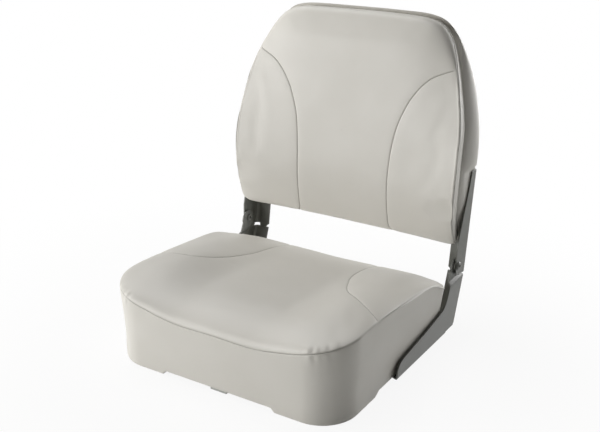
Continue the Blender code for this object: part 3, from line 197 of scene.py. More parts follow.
# Unevenness of the stuffing and of the vinyl, and small dents as (across, along, size, depth)
LUMP_HEIGHT, LUMP_SIZE = 0.0006, 0.090
WAVE_HEIGHT, SEAT_WAVE, BACK_WAVE = 0.0001, 0.028, 0.030
SEAT_DENTS = ((-0.0915, 0.004, 0.004, 0.0006), (-0.064, 0.058, 0.002, 0.0004), (-0.035, -0.146, 0.0025, 0.0004))
BACK_DENTS = ((0.073, 0.382, 0.0022, 0.0004), (0.104, 0.300, 0.003, 0.0003))
# The stuffing's pressure and the vinyl's stiffness for the cloth solver
PUFF_MESH, PUFF_FRAMES, PUFF_NEIGHBOURS, HELD_REACH = 0.0058, 20, 14, 0.020
VINYL_WEIGHT, VINYL_STRETCH, VINYL_SHEAR, VINYL_BEND, STUFFING_PRESSURE = 0.3, 15, 5, 0.5, 4


def curve(table, keys):
    """Values on a smooth line through a table's (key, value) rows."""
    known, values = np.array(table, float).T
    keys = np.clip(keys, known[0], known[-1])
    slopes = np.gradient(values)
    slopes[1:-1] = (values[2:] - values[:-2]) / (known[2:] - known[:-2])
    slopes[0] = (values[1] - values[0]) / (known[1] - known[0])
    slopes[-1] = (values[-1] - values[-2]) / (known[-1] - known[-2])
    i = np.clip(np.searchsorted(known, keys, "right") - 1, 0, len(known) - 2)
    span = known[i + 1] - known[i]
    t = (keys - known[i]) / span
    return ((2 * t**3 - 3 * t**2 + 1) * values[i] + (t**3 - 2 * t**2 + t) * span * slopes[i]
            + (3 * t**2 - 2 * t**3) * values[i + 1] + (t**3 - t**2) * span * slopes[i + 1])


def ease(value):
    """Smooth step from 0 to 1."""
    t = np.clip(value, 0, 1)
    return t * t * (3 - 2 * t)


def travelled(points):
    """Distance along a line of points, from its start."""
    return np.r_[0, np.cumsum(np.linalg.norm(np.diff(points, axis=0), axis=1))]


def evenly(points, count):
    """So many points at an even spacing on a smooth line through the given ones."""
    points = np.array(points, float)
    way = travelled(points)
    keys = np.linspace(0, way[-1], count)
    return np.array([curve(list(zip(way, column)), keys) for column in points.T]).T


def whole(x, y, z):
    """A closed row of points from a half that starts and ends on the centre plane."""
    half = np.array(np.broadcast_arrays(x, y, z), float).T
    other = half[-2:0:-1] * (-1, 1, 1)
    return np.concatenate([half, other])


def skin(rows):
    """A closed form through rows of points, made of one grid bent into place."""
    form = bmesh.new()
    bmesh.ops.create_grid(form, x_segments=len(rows[0]), y_segments=len(rows) - 1, size=1)
    across, up = len(rows[0]), len(rows) - 1
    for vert in form.verts:
        column = round((vert.co.x + 1) / 2 * across) % across
        row = round((vert.co.y + 1) / 2 * up)
        vert.co = rows[row][column]
    bmesh.ops.remove_doubles(form, verts=form.verts, dist=1e-6)
    bmesh.ops.holes_fill(form, edges=[edge for edge in form.edges if edge.is_boundary])
    bmesh.ops.recalc_face_normals(form, faces=form.faces)
    return form


def placed(name, form):
    """An object made of a bmesh, in the scene."""
    mesh = bpy.data.meshes.new(name)
    form.to_mesh(mesh)
    form.free()
    piece = bpy.data.objects.new(name, mesh)
    bpy.context.scene.collection.objects.link(piece)
    return piece


def applied(piece):
    """Puts what the modifiers make of a piece into its mesh."""
    graph = bpy.context.evaluated_depsgraph_get()
    mesh = bpy.data.meshes.new_from_object(piece.evaluated_get(graph))
    old = piece.data
    piece.modifiers.clear()
    piece.data = mesh
    bpy.data.meshes.remove(old)
    return piece


def spots_of(mesh):
    """Every vertex of a mesh as a row of an array."""
    spots = np.empty(len(mesh.vertices) * 3)
    mesh.vertices.foreach_get("co", spots)
    return spots.reshape(-1, 3)


def outward(mesh):
    """Every vertex normal of a mesh as a row of an array."""
    normals = np.empty(len(mesh.vertices) * 3)
    mesh.vertex_normals.foreach_get("vector", normals)
    return normals.reshape(-1, 3)


def move_to(mesh, spots):
    mesh.vertices.foreach_set("co", spots.ravel())
    mesh.update()


def nearest(spots, line):
    """Index of the line's point nearest to each spot, worked out in batches to save memory."""
    square = (line**2).sum(1)
    batches = np.array_split(spots, len(spots) // 5000 + 1)
    return np.concatenate([np.argmin(square - 2 * batch @ line.T, axis=1) for batch in batches])


def from_line(spots, line):
    """Distance of each spot from a line of points, and how far along the line it is."""
    near = nearest(spots, line)
    way = travelled(line)
    best = np.full(len(spots), np.inf)
    along = np.zeros(len(spots))
    for step in (-1, 0):
        start = np.clip(near + step, 0, len(line) - 2)
        run = line[start + 1] - line[start]
        share = np.clip(((spots - line[start]) * run).sum(1) / (run**2).sum(1), 0, 1)
        gap = np.linalg.norm(spots - line[start] - run * share[:, None], axis=1)
        closer = gap < best
        best[closer] = gap[closer]
        along[closer] = (way[start] + (way[start + 1] - way[start]) * share)[closer]
    return best, along


def ripple(keys, seed):
    """Smooth noise from -1 to 1 along a row of keys."""
    return np.array([noise.noise((key, seed * 7.3, 0.0)) for key in keys])


def unevenness(spots, size, seed):
    """Smooth noise over the surface, its lumps about so large."""
    return np.array([noise.noise((x / size, y / size + seed * 3.7, z / size)) for x, y, z in spots])


def stuffing_lumps(spots, wave, seed):
    """Slow lumps of the stuffing with finer waves of the vinyl on them."""
    return LUMP_HEIGHT * unevenness(spots, LUMP_SIZE, seed) + WAVE_HEIGHT * unevenness(spots, wave, seed + 1)


def dents_at(across, along, dents):
    """Depth of the small round dents at each place on a face."""
    return sum(deep * np.exp(-((across - a) ** 2 + (along - b) ** 2) / size**2) for a, b, size, deep in dents)


# Seat: boxing, hem and dished top

def seat_plan(height):
    """Half of the seat's plan, front centre to rear centre, at a share of the boxing's height."""
    half, front, rear, turn = (low + (high - low) * height for low, high in zip(SEAT_HEM, SEAT_SEAM))
    pull = SIDE_DRAW_IN * math.sin(math.pi * height)
    half, front, rear = half - pull, front + pull, rear - pull
    front_turn, rear_turn = turn - pull, SEAT_REAR_TURN - pull
    front_arc = np.linspace(0, math.pi / 2, CORNER_POINTS)
    rear_arc = np.linspace(0, math.pi / 2, REAR_CORNER_POINTS)
    x = np.r_[np.linspace(0, half - front_turn, FRONT_POINTS + 1)[:-1],
              half - front_turn + front_turn * np.sin(front_arc), np.full(SIDE_POINTS, half),
              half - rear_turn + rear_turn * np.cos(rear_arc),
              np.linspace(half - rear_turn, 0, REAR_POINTS + 1)[1:]]
    y = np.r_[np.full(FRONT_POINTS, front), front + front_turn - front_turn * np.cos(front_arc),
              np.linspace(front + front_turn, rear - rear_turn, SIDE_POINTS + 2)[1:-1],
              rear - rear_turn + rear_turn * np.sin(rear_arc), np.full(REAR_POINTS, rear)]
    return x, y


SEAT_WAY = travelled(np.array(seat_plan(1)).T)
SEAT_WAY /= SEAT_WAY[-1]
SEAT_SEAM_Z = SEAT_HEIGHT * curve(SEAT_SEAM_SHARES, SEAT_WAY)


def seat_top(x, y):
    """Height of the seat's dished top, without its rolled edges."""
    share = (y - SEAT_SEAM[1]) / SEAT_DEPTH
    centre, bolster = curve(SEAT_CENTRE_SHARES, share), curve(SEAT_BOLSTER_SHARES, share)
    side = ease((abs(x) - BOLSTER_START) / (BOLSTER_CREST - BOLSTER_START))
    return SEAT_HEIGHT * (centre + (bolster - centre) * side)


def seat_rows():
    """Rows of points up the boxing and over the top."""
    rows = []
    for share in np.linspace(0, 1, BOXING_ROWS):
        rows.append(whole(*seat_plan(share), SKIN_LOW + (SEAT_SEAM_Z - SKIN_LOW) * share))
    x, y = seat_plan(1)
    turns = np.linspace(0, math.pi / 2, ROLL_ROWS + 1)[1:]
    outs = np.r_[SEAT_ROLL_START + (1 - SEAT_ROLL_START) * np.cos(turns),
                 np.linspace(SEAT_ROLL_START, FACE_MIDDLE, FACE_ROWS + 1)[1:]]
    for out in outs:
        px, py = x * out, SEAT_MIDDLE_Y + (y - SEAT_MIDDLE_Y) * out
        q = max(0, (out - SEAT_ROLL_START) / (1 - SEAT_ROLL_START))
        rows.append(whole(px, py, SEAT_SEAM_Z + (seat_top(px, py) - SEAT_SEAM_Z) * math.sqrt(1 - q * q)))
    return rows


# Backrest: leaning front with two wings, boxing band, sewn valley and rear shell

BACK_EDGE = evenly([(BACK_HALF_WIDTH * u, BACK_BOTTOM + BACK_HEIGHT * v) for u, v in BACK_OUTLINE_SHARES],
                   OUTLINE_POINTS)


def back_edge(pull):
    """Half of the backrest's outline, bottom centre to top centre, drawn in on all sides by the pull."""
    middle = BACK_BOTTOM + BACK_HEIGHT / 2
    x = BACK_EDGE[:, 0] * (1 - pull / BACK_HALF_WIDTH)
    return x, middle + (BACK_EDGE[:, 1] - middle) * (1 - 2 * pull / BACK_HEIGHT)


def hinge_rear(z):
    """Depth of the upper hinge plates' rear, leaning back with height."""
    return HINGE_REAR[0] + HINGE_REAR[2] * (z - HINGE_REAR[1])


def back_rear(z):
    """Depth of the rear face: flat behind the hinges and less steep above them."""
    above = np.clip((z - BACK_FLATTEN_Z) / (BACK_BOTTOM + BACK_HEIGHT - BACK_FLATTEN_Z), 0, 1)
    face = hinge_rear(np.minimum(z, BACK_FLATTEN_Z)) - PLATE_TO_SHELL
    return face + BACK_REAR_CROWN * np.sin(above * math.pi / 2)


def back_face(x, z):
    """Depth of the front face, without its rolled edges."""
    share = (z - BACK_BOTTOM) / BACK_HEIGHT
    wing = BACK_WING_DEPTH * curve(BACK_WING_SHARES, share) * (x / BACK_HALF_WIDTH) ** 2
    return PIVOT[0] + BACK_ROLL_DEPTH * curve(BACK_FACE_SHARES, share) - wing


def back_stations(z, pull):
    """Depths and insets of the sewn valley, the swell behind it and the rounded rear edge."""
    above = ease((z - HINGE_TOP_Z) / (2 * BACK_REAR_TURN))
    seam = BACK_SEAM_Y
    rear = back_rear(z) - pull
    top = ease((z - BACK_MIDDLE_Z) / (BACK_BOTTOM + BACK_HEIGHT - BACK_MIDDLE_Z))
    band = np.minimum(BACK_BAND + (BACK_BAND_TOP - BACK_BAND) * top, (rear - seam) / 2)
    swell_out = BACK_SWELL_OUT + (BACK_SWELL_TOP - BACK_SWELL_OUT) * top
    swell = BACK_SWELL_IN - (swell_out + BACK_SWELL_IN) * above
    turn = BACK_HINGE_TURN + (BACK_REAR_TURN - BACK_HINGE_TURN) * above
    return seam, seam + band, rear, swell, turn


BACK_SEAM_Y = PIVOT[0] + BACK_ROLL_DEPTH * curve(BACK_SEAM_SHARES, (BACK_EDGE[:, 1] - BACK_BOTTOM) / BACK_HEIGHT)


def back_rows(pull):
    """Rows of points from the middle of the front, over the edges, to the middle of the rear."""
    x, z = back_edge(pull)
    rows = []
    turns = np.linspace(math.pi / 2, 0, ROLL_ROWS + 1)[1:]
    outs = np.r_[np.linspace(FACE_MIDDLE, BACK_ROLL_START, FACE_ROWS + 1),
                 BACK_ROLL_START + (1 - BACK_ROLL_START) * np.cos(turns)]
    for out in outs:
        px, pz = x * out, BACK_MIDDLE_Z + (z - BACK_MIDDLE_Z) * out
        q = max(0, (out - BACK_ROLL_START) / (1 - BACK_ROLL_START))
        face = back_face(px, pz)
        roll = (1 - q**BACK_ROLL_POWER) ** (1 / BACK_ROLL_POWER)
        rows.append(whole(px, BACK_SEAM_Y + (face - BACK_SEAM_Y) * roll + pull, pz))
    seam, valley, rear, swell, turn = back_stations(BACK_EDGE[:, 1], pull)
    for share in np.linspace(0, 1, BAND_ROWS + 1)[1:]:
        bx, bz = back_edge(pull + BACK_VALLEY * ease(share))
        rows.append(whole(bx, seam + pull + (valley - seam - pull) * share, bz))
    edge = rear - turn * EDGE_DEPTH
    for share in np.linspace(0, 1, SWELL_ROWS + 1)[1:]:
        rise = math.sin(share * math.pi / 2) ** SWELL_POWER
        bx, bz = back_edge(pull + BACK_VALLEY + (swell - BACK_VALLEY) * rise)
        rows.append(whole(bx, valley + (edge - valley) * share, bz))
    for angle in np.linspace(0, math.pi / 2, EDGE_ROWS + 1)[1:]:
        bx, bz = back_edge(pull + swell + turn * (1 - math.cos(angle)))
        rows.append(whole(bx, np.maximum(edge + (rear - edge) * math.sin(angle), edge), bz))
    bx, bz = back_edge(pull + swell + turn)
    for out in np.linspace(1, FACE_MIDDLE, REAR_ROWS + 1)[1:]:
        px, pz = bx * out, BACK_MIDDLE_Z + (bz - BACK_MIDDLE_Z) * out
        rows.append(whole(px, back_rear(pz) - pull, pz))
    return rows


# Stuffing and sewing

def puffed(piece, held, cap):
    """Blows an evenly meshed copy of a piece up with the cloth solver: its places and how far each moved."""
    even = piece.copy()
    even.data = piece.data.copy()
    bpy.context.scene.collection.objects.link(even)
    remesh = even.modifiers.new("even_mesh", "REMESH")
    remesh.mode = "VOXEL"
    remesh.voxel_size = PUFF_MESH
    applied(even)
    rest = spots_of(even.data)
    group = even.vertex_groups.new(name="held")
    for i, weight in enumerate(held(rest, outward(even.data))):
        group.add([i], float(weight), "REPLACE")
    puff = even.modifiers.new("puff", "CLOTH")
    puff.settings.quality = 5
    puff.settings.mass = VINYL_WEIGHT
    puff.settings.tension_stiffness = VINYL_STRETCH
    puff.settings.compression_stiffness = VINYL_STRETCH
    puff.settings.shear_stiffness = VINYL_SHEAR
    puff.settings.bending_stiffness = VINYL_BEND
    puff.settings.use_pressure = True
    puff.settings.uniform_pressure_force = STUFFING_PRESSURE
    puff.settings.effector_weights.gravity = 0
    puff.settings.vertex_group_mass = "held"
    puff.point_cache.frame_start = 1
    puff.point_cache.frame_end = PUFF_FRAMES
    for step in range(1, PUFF_FRAMES + 1):
        bpy.context.scene.frame_set(step)
    applied(even)
    bpy.context.scene.frame_set(1)
    moved = spots_of(even.data) - rest
    bpy.data.objects.remove(even)
    length = np.linalg.norm(moved, axis=1)[:, None] + 1e-9
    print(piece.name, "puffed by up to", round(float(length.max()) * 1000, 2), "mm")
    return rest, moved / length * cap * np.tanh(length / cap)


def stuffed(name, form, held, cap):
    """A closed form with its stuffing pressed out, by the cap at most. held gives 1 where the vinyl can't move."""
    piece = placed(name, form)
    rest, moved = puffed(piece, held, cap)
    near = KDTree(len(rest))
    for i, spot in enumerate(rest):
        near.insert(spot, i)
    near.balance()
    spots, out = spots_of(piece.data), outward(piece.data)
    for i, spot in enumerate(spots):
        found = near.find_n(spot, PUFF_NEIGHBOURS)
        weights = np.array([1 / (gap + PUFF_MESH / 2) for _, _, gap in found])
        mean = weights @ moved[[index for _, index, _ in found]] / weights.sum()
        spots[i] += out[i] * (out[i] @ mean)
    move_to(piece.data, spots)
    return piece


def finer_near(form, lines):
    """Halves the mesh spacing near the lines, once for each reach."""
    for reach in SEAM_REACHES:
        spots = np.array([vert.co for vert in form.verts])
        close = np.zeros(len(spots), bool)
        for line in lines:
            close |= from_line(spots, line)[0] < reach
        form.verts.index_update()
        edges = [edge for edge in form.edges
                 if any(close[vert.index] for face in edge.link_faces for vert in face.verts)]
        bmesh.ops.subdivide_edges(form, edges=edges, cuts=1, use_grid_fill=True)
    bmesh.ops.triangulate(form, faces=[face for face in form.faces if len(face.verts) > 4])


def laid_on(piece, points, cast):
    """Points carried onto a piece's surface along a direction."""
    tree = BVHTree.FromObject(piece, bpy.context.evaluated_depsgraph_get())
    hits = [tree.ray_cast(Vector(point) - cast, cast)[0] for point in points]
    return np.array([hit for hit in hits if hit is not None])


def snug(piece, line):
    """A line of points moved to the nearest places on a piece's surface."""
    tree = BVHTree.FromObject(piece, bpy.context.evaluated_depsgraph_get())
    return np.array([tree.find_nearest(Vector(point))[0] for point in line])


def closed_line(x, y, z):
    """A sewn line right round a cushion, from its half."""
    line = whole(x, y, z)
    return evenly(np.vstack([line, line[:1]]), SEAM_POINTS)


def sew(spots, normals, way, depths, seed, welt=0.0):
    """Moves spots along a sewn line: a narrow groove, a welt beside it, a wider dip and small gathers."""
    groove, dip, gather = depths
    mm, along = way[0] * 1000, way[1] * 1000
    move = -groove * np.exp(-(mm / GROOVE_MM) ** 2) - dip * np.exp(-(mm / DIP_MM) ** 2)
    move += welt * np.exp(-((mm - WELT_MM) / GROOVE_MM) ** 2)
    near = mm < 30
    wave = np.zeros(len(spots))
    wave[near] = ripple(along[near] / LONG_GATHER_MM, seed) + 0.5 * ripple(along[near] / SHORT_GATHER_MM, seed + 3)
    move += gather * wave * np.exp(-mm / 6.0) * (1 - np.exp(-(mm / 1.2) ** 2))
    return spots + normals * move[:, None]


def keep_gaps(mesh, seam_gap, seam_side, arc_gap, arc_side):
    """Stores each vertex's distance in mm from the seam and the arcs, signed by side, and from the nearer one."""
    gaps = {"seam_mm": seam_gap * np.where(seam_side, 1, -1), "arc_mm": arc_gap * np.where(arc_side, 1, -1),
            "near_mm": np.minimum(seam_gap, arc_gap)}
    for name, values in gaps.items():
        attribute = mesh.attributes.new(name, "FLOAT", "POINT")
        attribute.data.foreach_set("value", np.asarray(1000 * values, np.float32))


def hem_turned_in(form):
    """Opens the seat's underside and turns the cover's hem in below the pan."""
    everything = [*form.verts, *form.edges, *form.faces]
    bmesh.ops.bisect_plane(form, geom=everything, plane_co=(0, 0, HEM_CUT), plane_no=(0, 0, 1), clear_inner=True)
    hem_line = whole(*seat_plan(0), 0)
    hem_out = np.gradient(np.vstack([hem_line[-1:], hem_line, hem_line[:1]]), axis=0)[1:-1]
    hem_out = np.array([hem_out[:, 1], -hem_out[:, 0], 0 * hem_out[:, 0]]).T
    hem_out /= np.linalg.norm(hem_out, axis=1)[:, None]
    loop = [edge for edge in form.edges if edge.is_boundary]
    inset = 0.0
    for inward, height in HEM_STEPS:
        made = bmesh.ops.extrude_edge_only(form, edges=loop)["geom"]
        loop = [part for part in made if isinstance(part, bmesh.types.BMEdge) and part.is_boundary]
        for vert in {vert for edge in loop for vert in edge.verts}:
            beside = np.argmin(((hem_line[:, :2] - np.array(vert.co.xy)) ** 2).sum(1))
            vert.co -= Vector(hem_out[beside]) * (inward - inset)
            vert.co.z = height
        inset = inward
    bmesh.ops.holes_fill(form, edges=loop)
    bmesh.ops.recalc_face_normals(form, faces=form.faces)


def over_rim(spots):
    """How far the vinyl stands out where it is stretched over the pan's rim, more at the front corners."""
    corner = ease((abs(spots[:, 0]) - 0.06) / 0.09) * ease((-0.055 - spots[:, 1]) / 0.06)
    rim = 0.018 + 0.009 * corner
    return RIM_PROUD * (0.35 + 0.65 * corner) * ease((rim - spots[:, 2]) / 0.003)


def corner_gathers(spots, way):
    """How far the vinyl moves in the gathers where the boxing turns the front corners."""
    gap, along = way
    across, ahead = abs(spots[:, 0]) - FRONT_CORNER[0], spots[:, 1] - FRONT_CORNER[1]
    turn = np.exp(-(across**2 + ahead**2) / FRONT_CORNER_REACH**2)
    near = gap < 0.03
    fold = np.zeros(len(spots))
    fold[near] = ripple(along[near] / GATHER_SPACING, 5)
    return GATHER_DEPTH * turn * fold * np.exp(-(gap / 0.011) ** 2) * (1 - np.exp(-(gap / 0.003) ** 2))


def at_feet(spots):
    """1 over the pan's two front corner feet, where the hem comes down, and 0 elsewhere."""
    front = ease((abs(spots[:, 0]) - FOOT_FRONT_X + FOOT_RAMP) / FOOT_RAMP)
    return front * ease((FOOT_SIDE_Y + FOOT_RAMP - spots[:, 1]) / FOOT_RAMP)


def seat_cushion():
    """The seat's cover over its stuffing: dished top, boxing with its seam, sewn arcs and turned hem."""
    seam = closed_line(*seat_plan(1), SEAT_SEAM_Z)

    def held(spots, normals):
        gap = from_line(spots, seam)[0]
        side = ease(1 - (spots[:, 2] - 0.03) / 0.03)
        return np.maximum(ease(1.2 - gap / HELD_REACH), np.maximum(side, normals[:, 2] < -0.5))

    piece = stuffed("seat_cushion", skin(seat_rows()), held, SEAT_PUFF)
    mesh = piece.data
    seam = snug(piece, seam)
    form = bmesh.new()
    form.from_mesh(mesh)
    hem_turned_in(form)
    form.to_mesh(mesh)
    arcs = []
    for side, shares in ((-1, SEAT_ARC_LEFT), (1, SEAT_ARC_RIGHT)):
        plan = [(side * SEAT_SEAM[0] * u, SEAT_SEAM[2] - SEAT_DEPTH * (1 - v), ABOVE_SEAT) for u, v in shares]
        arc = laid_on(piece, evenly(plan, SEAT_ARC_POINTS), Vector((0, 0, -1)))
        arcs.append(arc[arc[:, 2] > seam[nearest(arc, seam), 2]])
    finer_near(form, [seam, *arcs])
    form.to_mesh(mesh)
    form.free()

    spots, out = spots_of(mesh), outward(mesh)
    shown = spots[:, 2] > HEM_LEVEL + 0.003
    facing_up = out[:, 2] > 0.3
    lumps = stuffing_lumps(spots, SEAT_WAVE, 1) - dents_at(spots[:, 0], spots[:, 1], SEAT_DENTS) * facing_up
    lumps += over_rim(spots)
    way = from_line(spots, seam)
    arc_ways = [from_line(spots, arc) for arc in arcs]
    above = np.where(way[0] < BESIDE_SEAM, spots[:, 2] > seam[nearest(spots, seam), 2], facing_up)
    feet = at_feet(spots)
    spots = spots + out * (lumps * shown)[:, None]
    # The welt shows under the seam along the rear half of the sides
    welt = ease((spots[:, 1] + 0.02) / 0.06) * ~above * (abs(spots[:, 0]) > 0.18)
    spots = sew(spots, out * shown[:, None], way, SEAT_SEAM_SEWN, 1, SEAT_WELT * welt)
    spots = spots + out * corner_gathers(spots, way)[:, None]
    for arc_way, seed in zip(arc_ways, (7, 8)):
        spots = sew(spots, out, arc_way, SEAT_ARC_SEWN, seed)
    arc_gap = np.minimum(arc_ways[0][0], arc_ways[1][0])
    arc_x = np.interp(spots[:, 1], arcs[1][::-1, 1], arcs[1][::-1, 0])
    middle = (abs(spots[:, 0]) < arc_x) | (spots[:, 1] < arcs[1][-1, 1])
    spots[:, 2] -= FOOT_DROP * feet * ease((FOOT_TOP - spots[:, 2]) / (FOOT_TOP - FOOT_LOW))
    # Clear of the hinge plates, which lie against the boxing
    edge_y, edge_z = np.array(HINGE_EDGE).T
    beside = (spots[:, 1] > -0.006) & (spots[:, 2] < np.interp(spots[:, 1], edge_y, edge_z) + 0.004)
    inside = np.clip(spots[:, 0], -SEAT_CLEAR_OF_PLATES, SEAT_CLEAR_OF_PLATES)
    spots[:, 0] = np.where(beside, inside, spots[:, 0])
    move_to(mesh, spots)
    keep_gaps(mesh, way[0], above, arc_gap, middle)
    mesh.shade_smooth()
    return piece


def clear_when_folded(seat, spots, out):
    """Draws the backrest's face in where the folded cushion would press into the seat."""
    tree = BVHTree.FromObject(seat, bpy.context.evaluated_depsgraph_get())
    y, z = spots[:, 1] - PIVOT[0], spots[:, 2] - PIVOT[1]
    folded_y = PIVOT[0] + y * math.cos(FOLD_TURN) - z * math.sin(FOLD_TURN)
    folded_z = PIVOT[1] + y * math.sin(FOLD_TURN) + z * math.cos(FOLD_TURN)
    for i in np.flatnonzero((folded_z < FOLD_TOUCH_Z) & (out[:, 1] < 0.3)):
        spot = Vector((spots[i, 0], folded_y[i], folded_z[i]))
        near, normal, *_ = tree.find_nearest(spot)
        spots[i, 1] += 1.1 * max(0, FOLD_GAP - (spot - near).dot(normal))


def back_cushion(seat):
    """The backrest's cover over its stuffing: winged front, boxing band, sewn valley, arcs and rear shell."""
    x, z = BACK_EDGE.T
    seam_y, valley_y, *_ = back_stations(z, 0)
    seam = closed_line(x, seam_y, z)
    vx, vz = back_edge(BACK_VALLEY)
    valley = closed_line(vx, valley_y, vz)

    def held(spots, normals):
        gap = np.minimum(from_line(spots, seam)[0], from_line(spots, valley)[0])
        return np.maximum(ease(1.2 - gap / HELD_REACH), normals[:, 1] > 0.7)

    piece = stuffed("back_cushion", skin(back_rows(BACK_PROUD)), held, BACK_PUFF)
    mesh = piece.data
    seam, valley = snug(piece, seam), snug(piece, valley)
    form = bmesh.new()
    form.from_mesh(mesh)
    plan = [(BACK_HALF_WIDTH * u, 0, BACK_BOTTOM + BACK_HEIGHT * v) for u, v in BACK_ARC_SHARES]
    plan = evenly(plan, BACK_ARC_POINTS)
    arcs = [laid_on(piece, plan * (side, 1, 1), Vector((0, 1, 0))) for side in (-1, 1)]
    # The mouth is the closing seam along the bottom
    mouth_y = back_rear(BACK_BOTTOM) - COVER_THICKNESS - BACK_REAR_TURN / 4 - 0.002
    mouth = [(mx, mouth_y, 0) for mx in np.linspace(-MOUTH_HALF, MOUTH_HALF, MOUTH_POINTS)]
    mouth = laid_on(piece, mouth, Vector((0, 0, 1)))
    finer_near(form, [seam, valley, *arcs, mouth])
    form.to_mesh(mesh)
    form.free()

    spots, out = spots_of(mesh), outward(mesh)
    lumps = stuffing_lumps(spots, BACK_WAVE, 11)
    # The shell lies flat over the board behind
    lumps *= 1 - 0.8 * ease((out[:, 1] - 0.6) / 0.3) * ease((BACK_FLATTEN_Z - spots[:, 2]) / 0.03)
    lumps -= dents_at(spots[:, 0], spots[:, 2], BACK_DENTS) * (out[:, 1] < 0)
    way = from_line(spots, seam)
    valley_way, mouth_way = from_line(spots, valley), from_line(spots, mouth)
    arc_ways = [from_line(spots, arc) for arc in arcs]
    ahead = np.where(way[0] < BESIDE_SEAM, spots[:, 1] < seam[nearest(spots, seam), 1], out[:, 1] < -0.3)
    spots = spots + out * lumps[:, None]
    spots = sew(spots, out, way, BACK_SEAM_SEWN, 21, BACK_WELT)
    spots = sew(spots, out, valley_way, VALLEY_SEWN, 22)
    spots = sew(spots, out, mouth_way, MOUTH_SEWN, 23)
    for arc_way, seed in zip(arc_ways, (27, 28)):
        spots = sew(spots, out, arc_way, BACK_ARC_SEWN, seed)
    arc_gap = np.minimum(arc_ways[0][0], arc_ways[1][0])
    arc_x = np.interp(spots[:, 2], arcs[1][:, 2], arcs[1][:, 0])
    middle = (abs(spots[:, 0]) < arc_x) | (spots[:, 2] > arcs[1][-1, 2])
    # Flat where the hinge plates are screwed on, and clear of them beside
    limit = hinge_rear(spots[:, 2]) - PLATE_TO_COVER
    beside = (spots[:, 2] < BESIDE_PLATES_Z) & (spots[:, 1] > PLATES_FRONT_Y)
    inside = np.clip(spots[:, 0], -BACK_CLEAR_OF_PLATES, BACK_CLEAR_OF_PLATES)
    spots[:, 0] = np.where(beside, inside, spots[:, 0])
    against = (abs(spots[:, 0]) > UNDER_RETURNS_X) & (spots[:, 2] < UNDER_RETURNS_Z)
    spots[:, 1] = np.where(against, np.minimum(spots[:, 1], limit), spots[:, 1])
    clear_when_folded(seat, spots, out)
    move_to(mesh, spots)
    keep_gaps(mesh, way[0], ahead, arc_gap, middle & (out[:, 1] < 0.2))
    mesh.shade_smooth()
    return piece


# Metal and plastic pieces

def eased(name, width):
    """A rigid CAD node's shape with its edges broken, as a piece of its own."""
    form = bmesh.new()
    form.from_mesh(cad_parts[name].data)
    bmesh.ops.remove_doubles(form, verts=form.verts, dist=1e-6)
    bmesh.ops.dissolve_limit(form, angle_limit=math.radians(1.5), verts=form.verts, edges=form.edges)
    piece = placed(name + "_piece", form)
    edge = piece.modifiers.new("broken_edges", "BEVEL")
    edge.width = width
    edge.segments = 2
    edge.limit_method = "ANGLE"
    edge.angle_limit = math.radians(30)
    edge.harden_normals = True
    piece.data.shade_smooth()
    piece.data.set_sharp_from_angle(angle=math.radians(30))
    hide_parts(name)
    return piece


def turned(name, profile, steps, place):
    """A solid of revolution about Z through (radius, height) points, put in place by a matrix."""
    form = bmesh.new()
    verts = [form.verts.new((radius, 0, height)) for radius, height in profile]
    edges = [form.edges.new(pair) for pair in zip(verts, verts[1:])]
    bmesh.ops.spin(form, geom=verts + edges, cent=(0, 0, 0), axis=(0, 0, 1), angle=math.tau, steps=steps,
                   use_merge=True)
    bmesh.ops.remove_doubles(form, verts=form.verts, dist=1e-6)
    bmesh.ops.recalc_face_normals(form, faces=form.faces)
    form.transform(place)
    piece = placed(name, form)
    piece.data.shade_smooth()
    piece.data.set_sharp_from_angle(angle=math.radians(35))
    return piece


def facing(origin, direction):
    """Matrix that puts Z along a direction at an origin."""
    turn = Vector((0, 0, 1)).rotation_difference(Vector(direction)).to_matrix().to_4x4()
    return Matrix.Translation(origin) @ turn


# A rivet's head radius, the height of its dome and its shank's radius
RIVET_HEAD, RIVET_DOME, RIVET_SHANK = 0.0067, 0.0028, 0.0039


def pivot_rivet(node, sign):
    """Domed tubular rivet, open at both ends, rolled over on the inside."""
    low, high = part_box(node)
    inner, outer = (low.x, high.x) if sign > 0 else (-high.x, -low.x)
    centre = (low + high) / 2
    head = outer - RIVET_DOME
    tail = inner + 0.0022
    profile = [(0, outer - 0.0030), (0.0019, outer - 0.0030), (0.0021, outer - 0.0006), (0.0024, outer - 0.00028)]
    for turn in np.linspace(0.42, math.pi / 2, 10):
        profile.append((RIVET_HEAD * math.sin(turn), head + RIVET_DOME * math.cos(turn)))
    profile += [(RIVET_HEAD, head), (RIVET_SHANK, head), (RIVET_SHANK, tail), (0.0058, tail),
                (0.0062, tail - 0.0006), (0.0056, inner + 0.0004), (0.0038, inner), (0.0024, inner + 0.0002),
                (0.0020, inner + 0.0020), (0.0, inner + 0.0020)]
    place = Matrix.Translation((0, centre.y, centre.z)) @ Matrix.Rotation(sign * math.pi / 2, 4, "Y")
    piece = turned(node + "_piece", profile, 40, place)
    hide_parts(node)
    return piece


# Head, shank and tip of a screw, as (radius, distance from the head's top)
SCREW_PROFILE = (
    (0, 0), (0.0018, 0.00008), (0.0030, 0.0003), (0.0038, 0.0008), (0.0042, 0.0015), (0.0043, 0.0021),
    (0.0043, 0.0024), (0.0019, 0.0024), (0.0019, 0.0150), (0.0009, 0.0172), (0, 0.0174),
)
CROSS_SIZE = (0.0046, 0.0009, 0.0030)


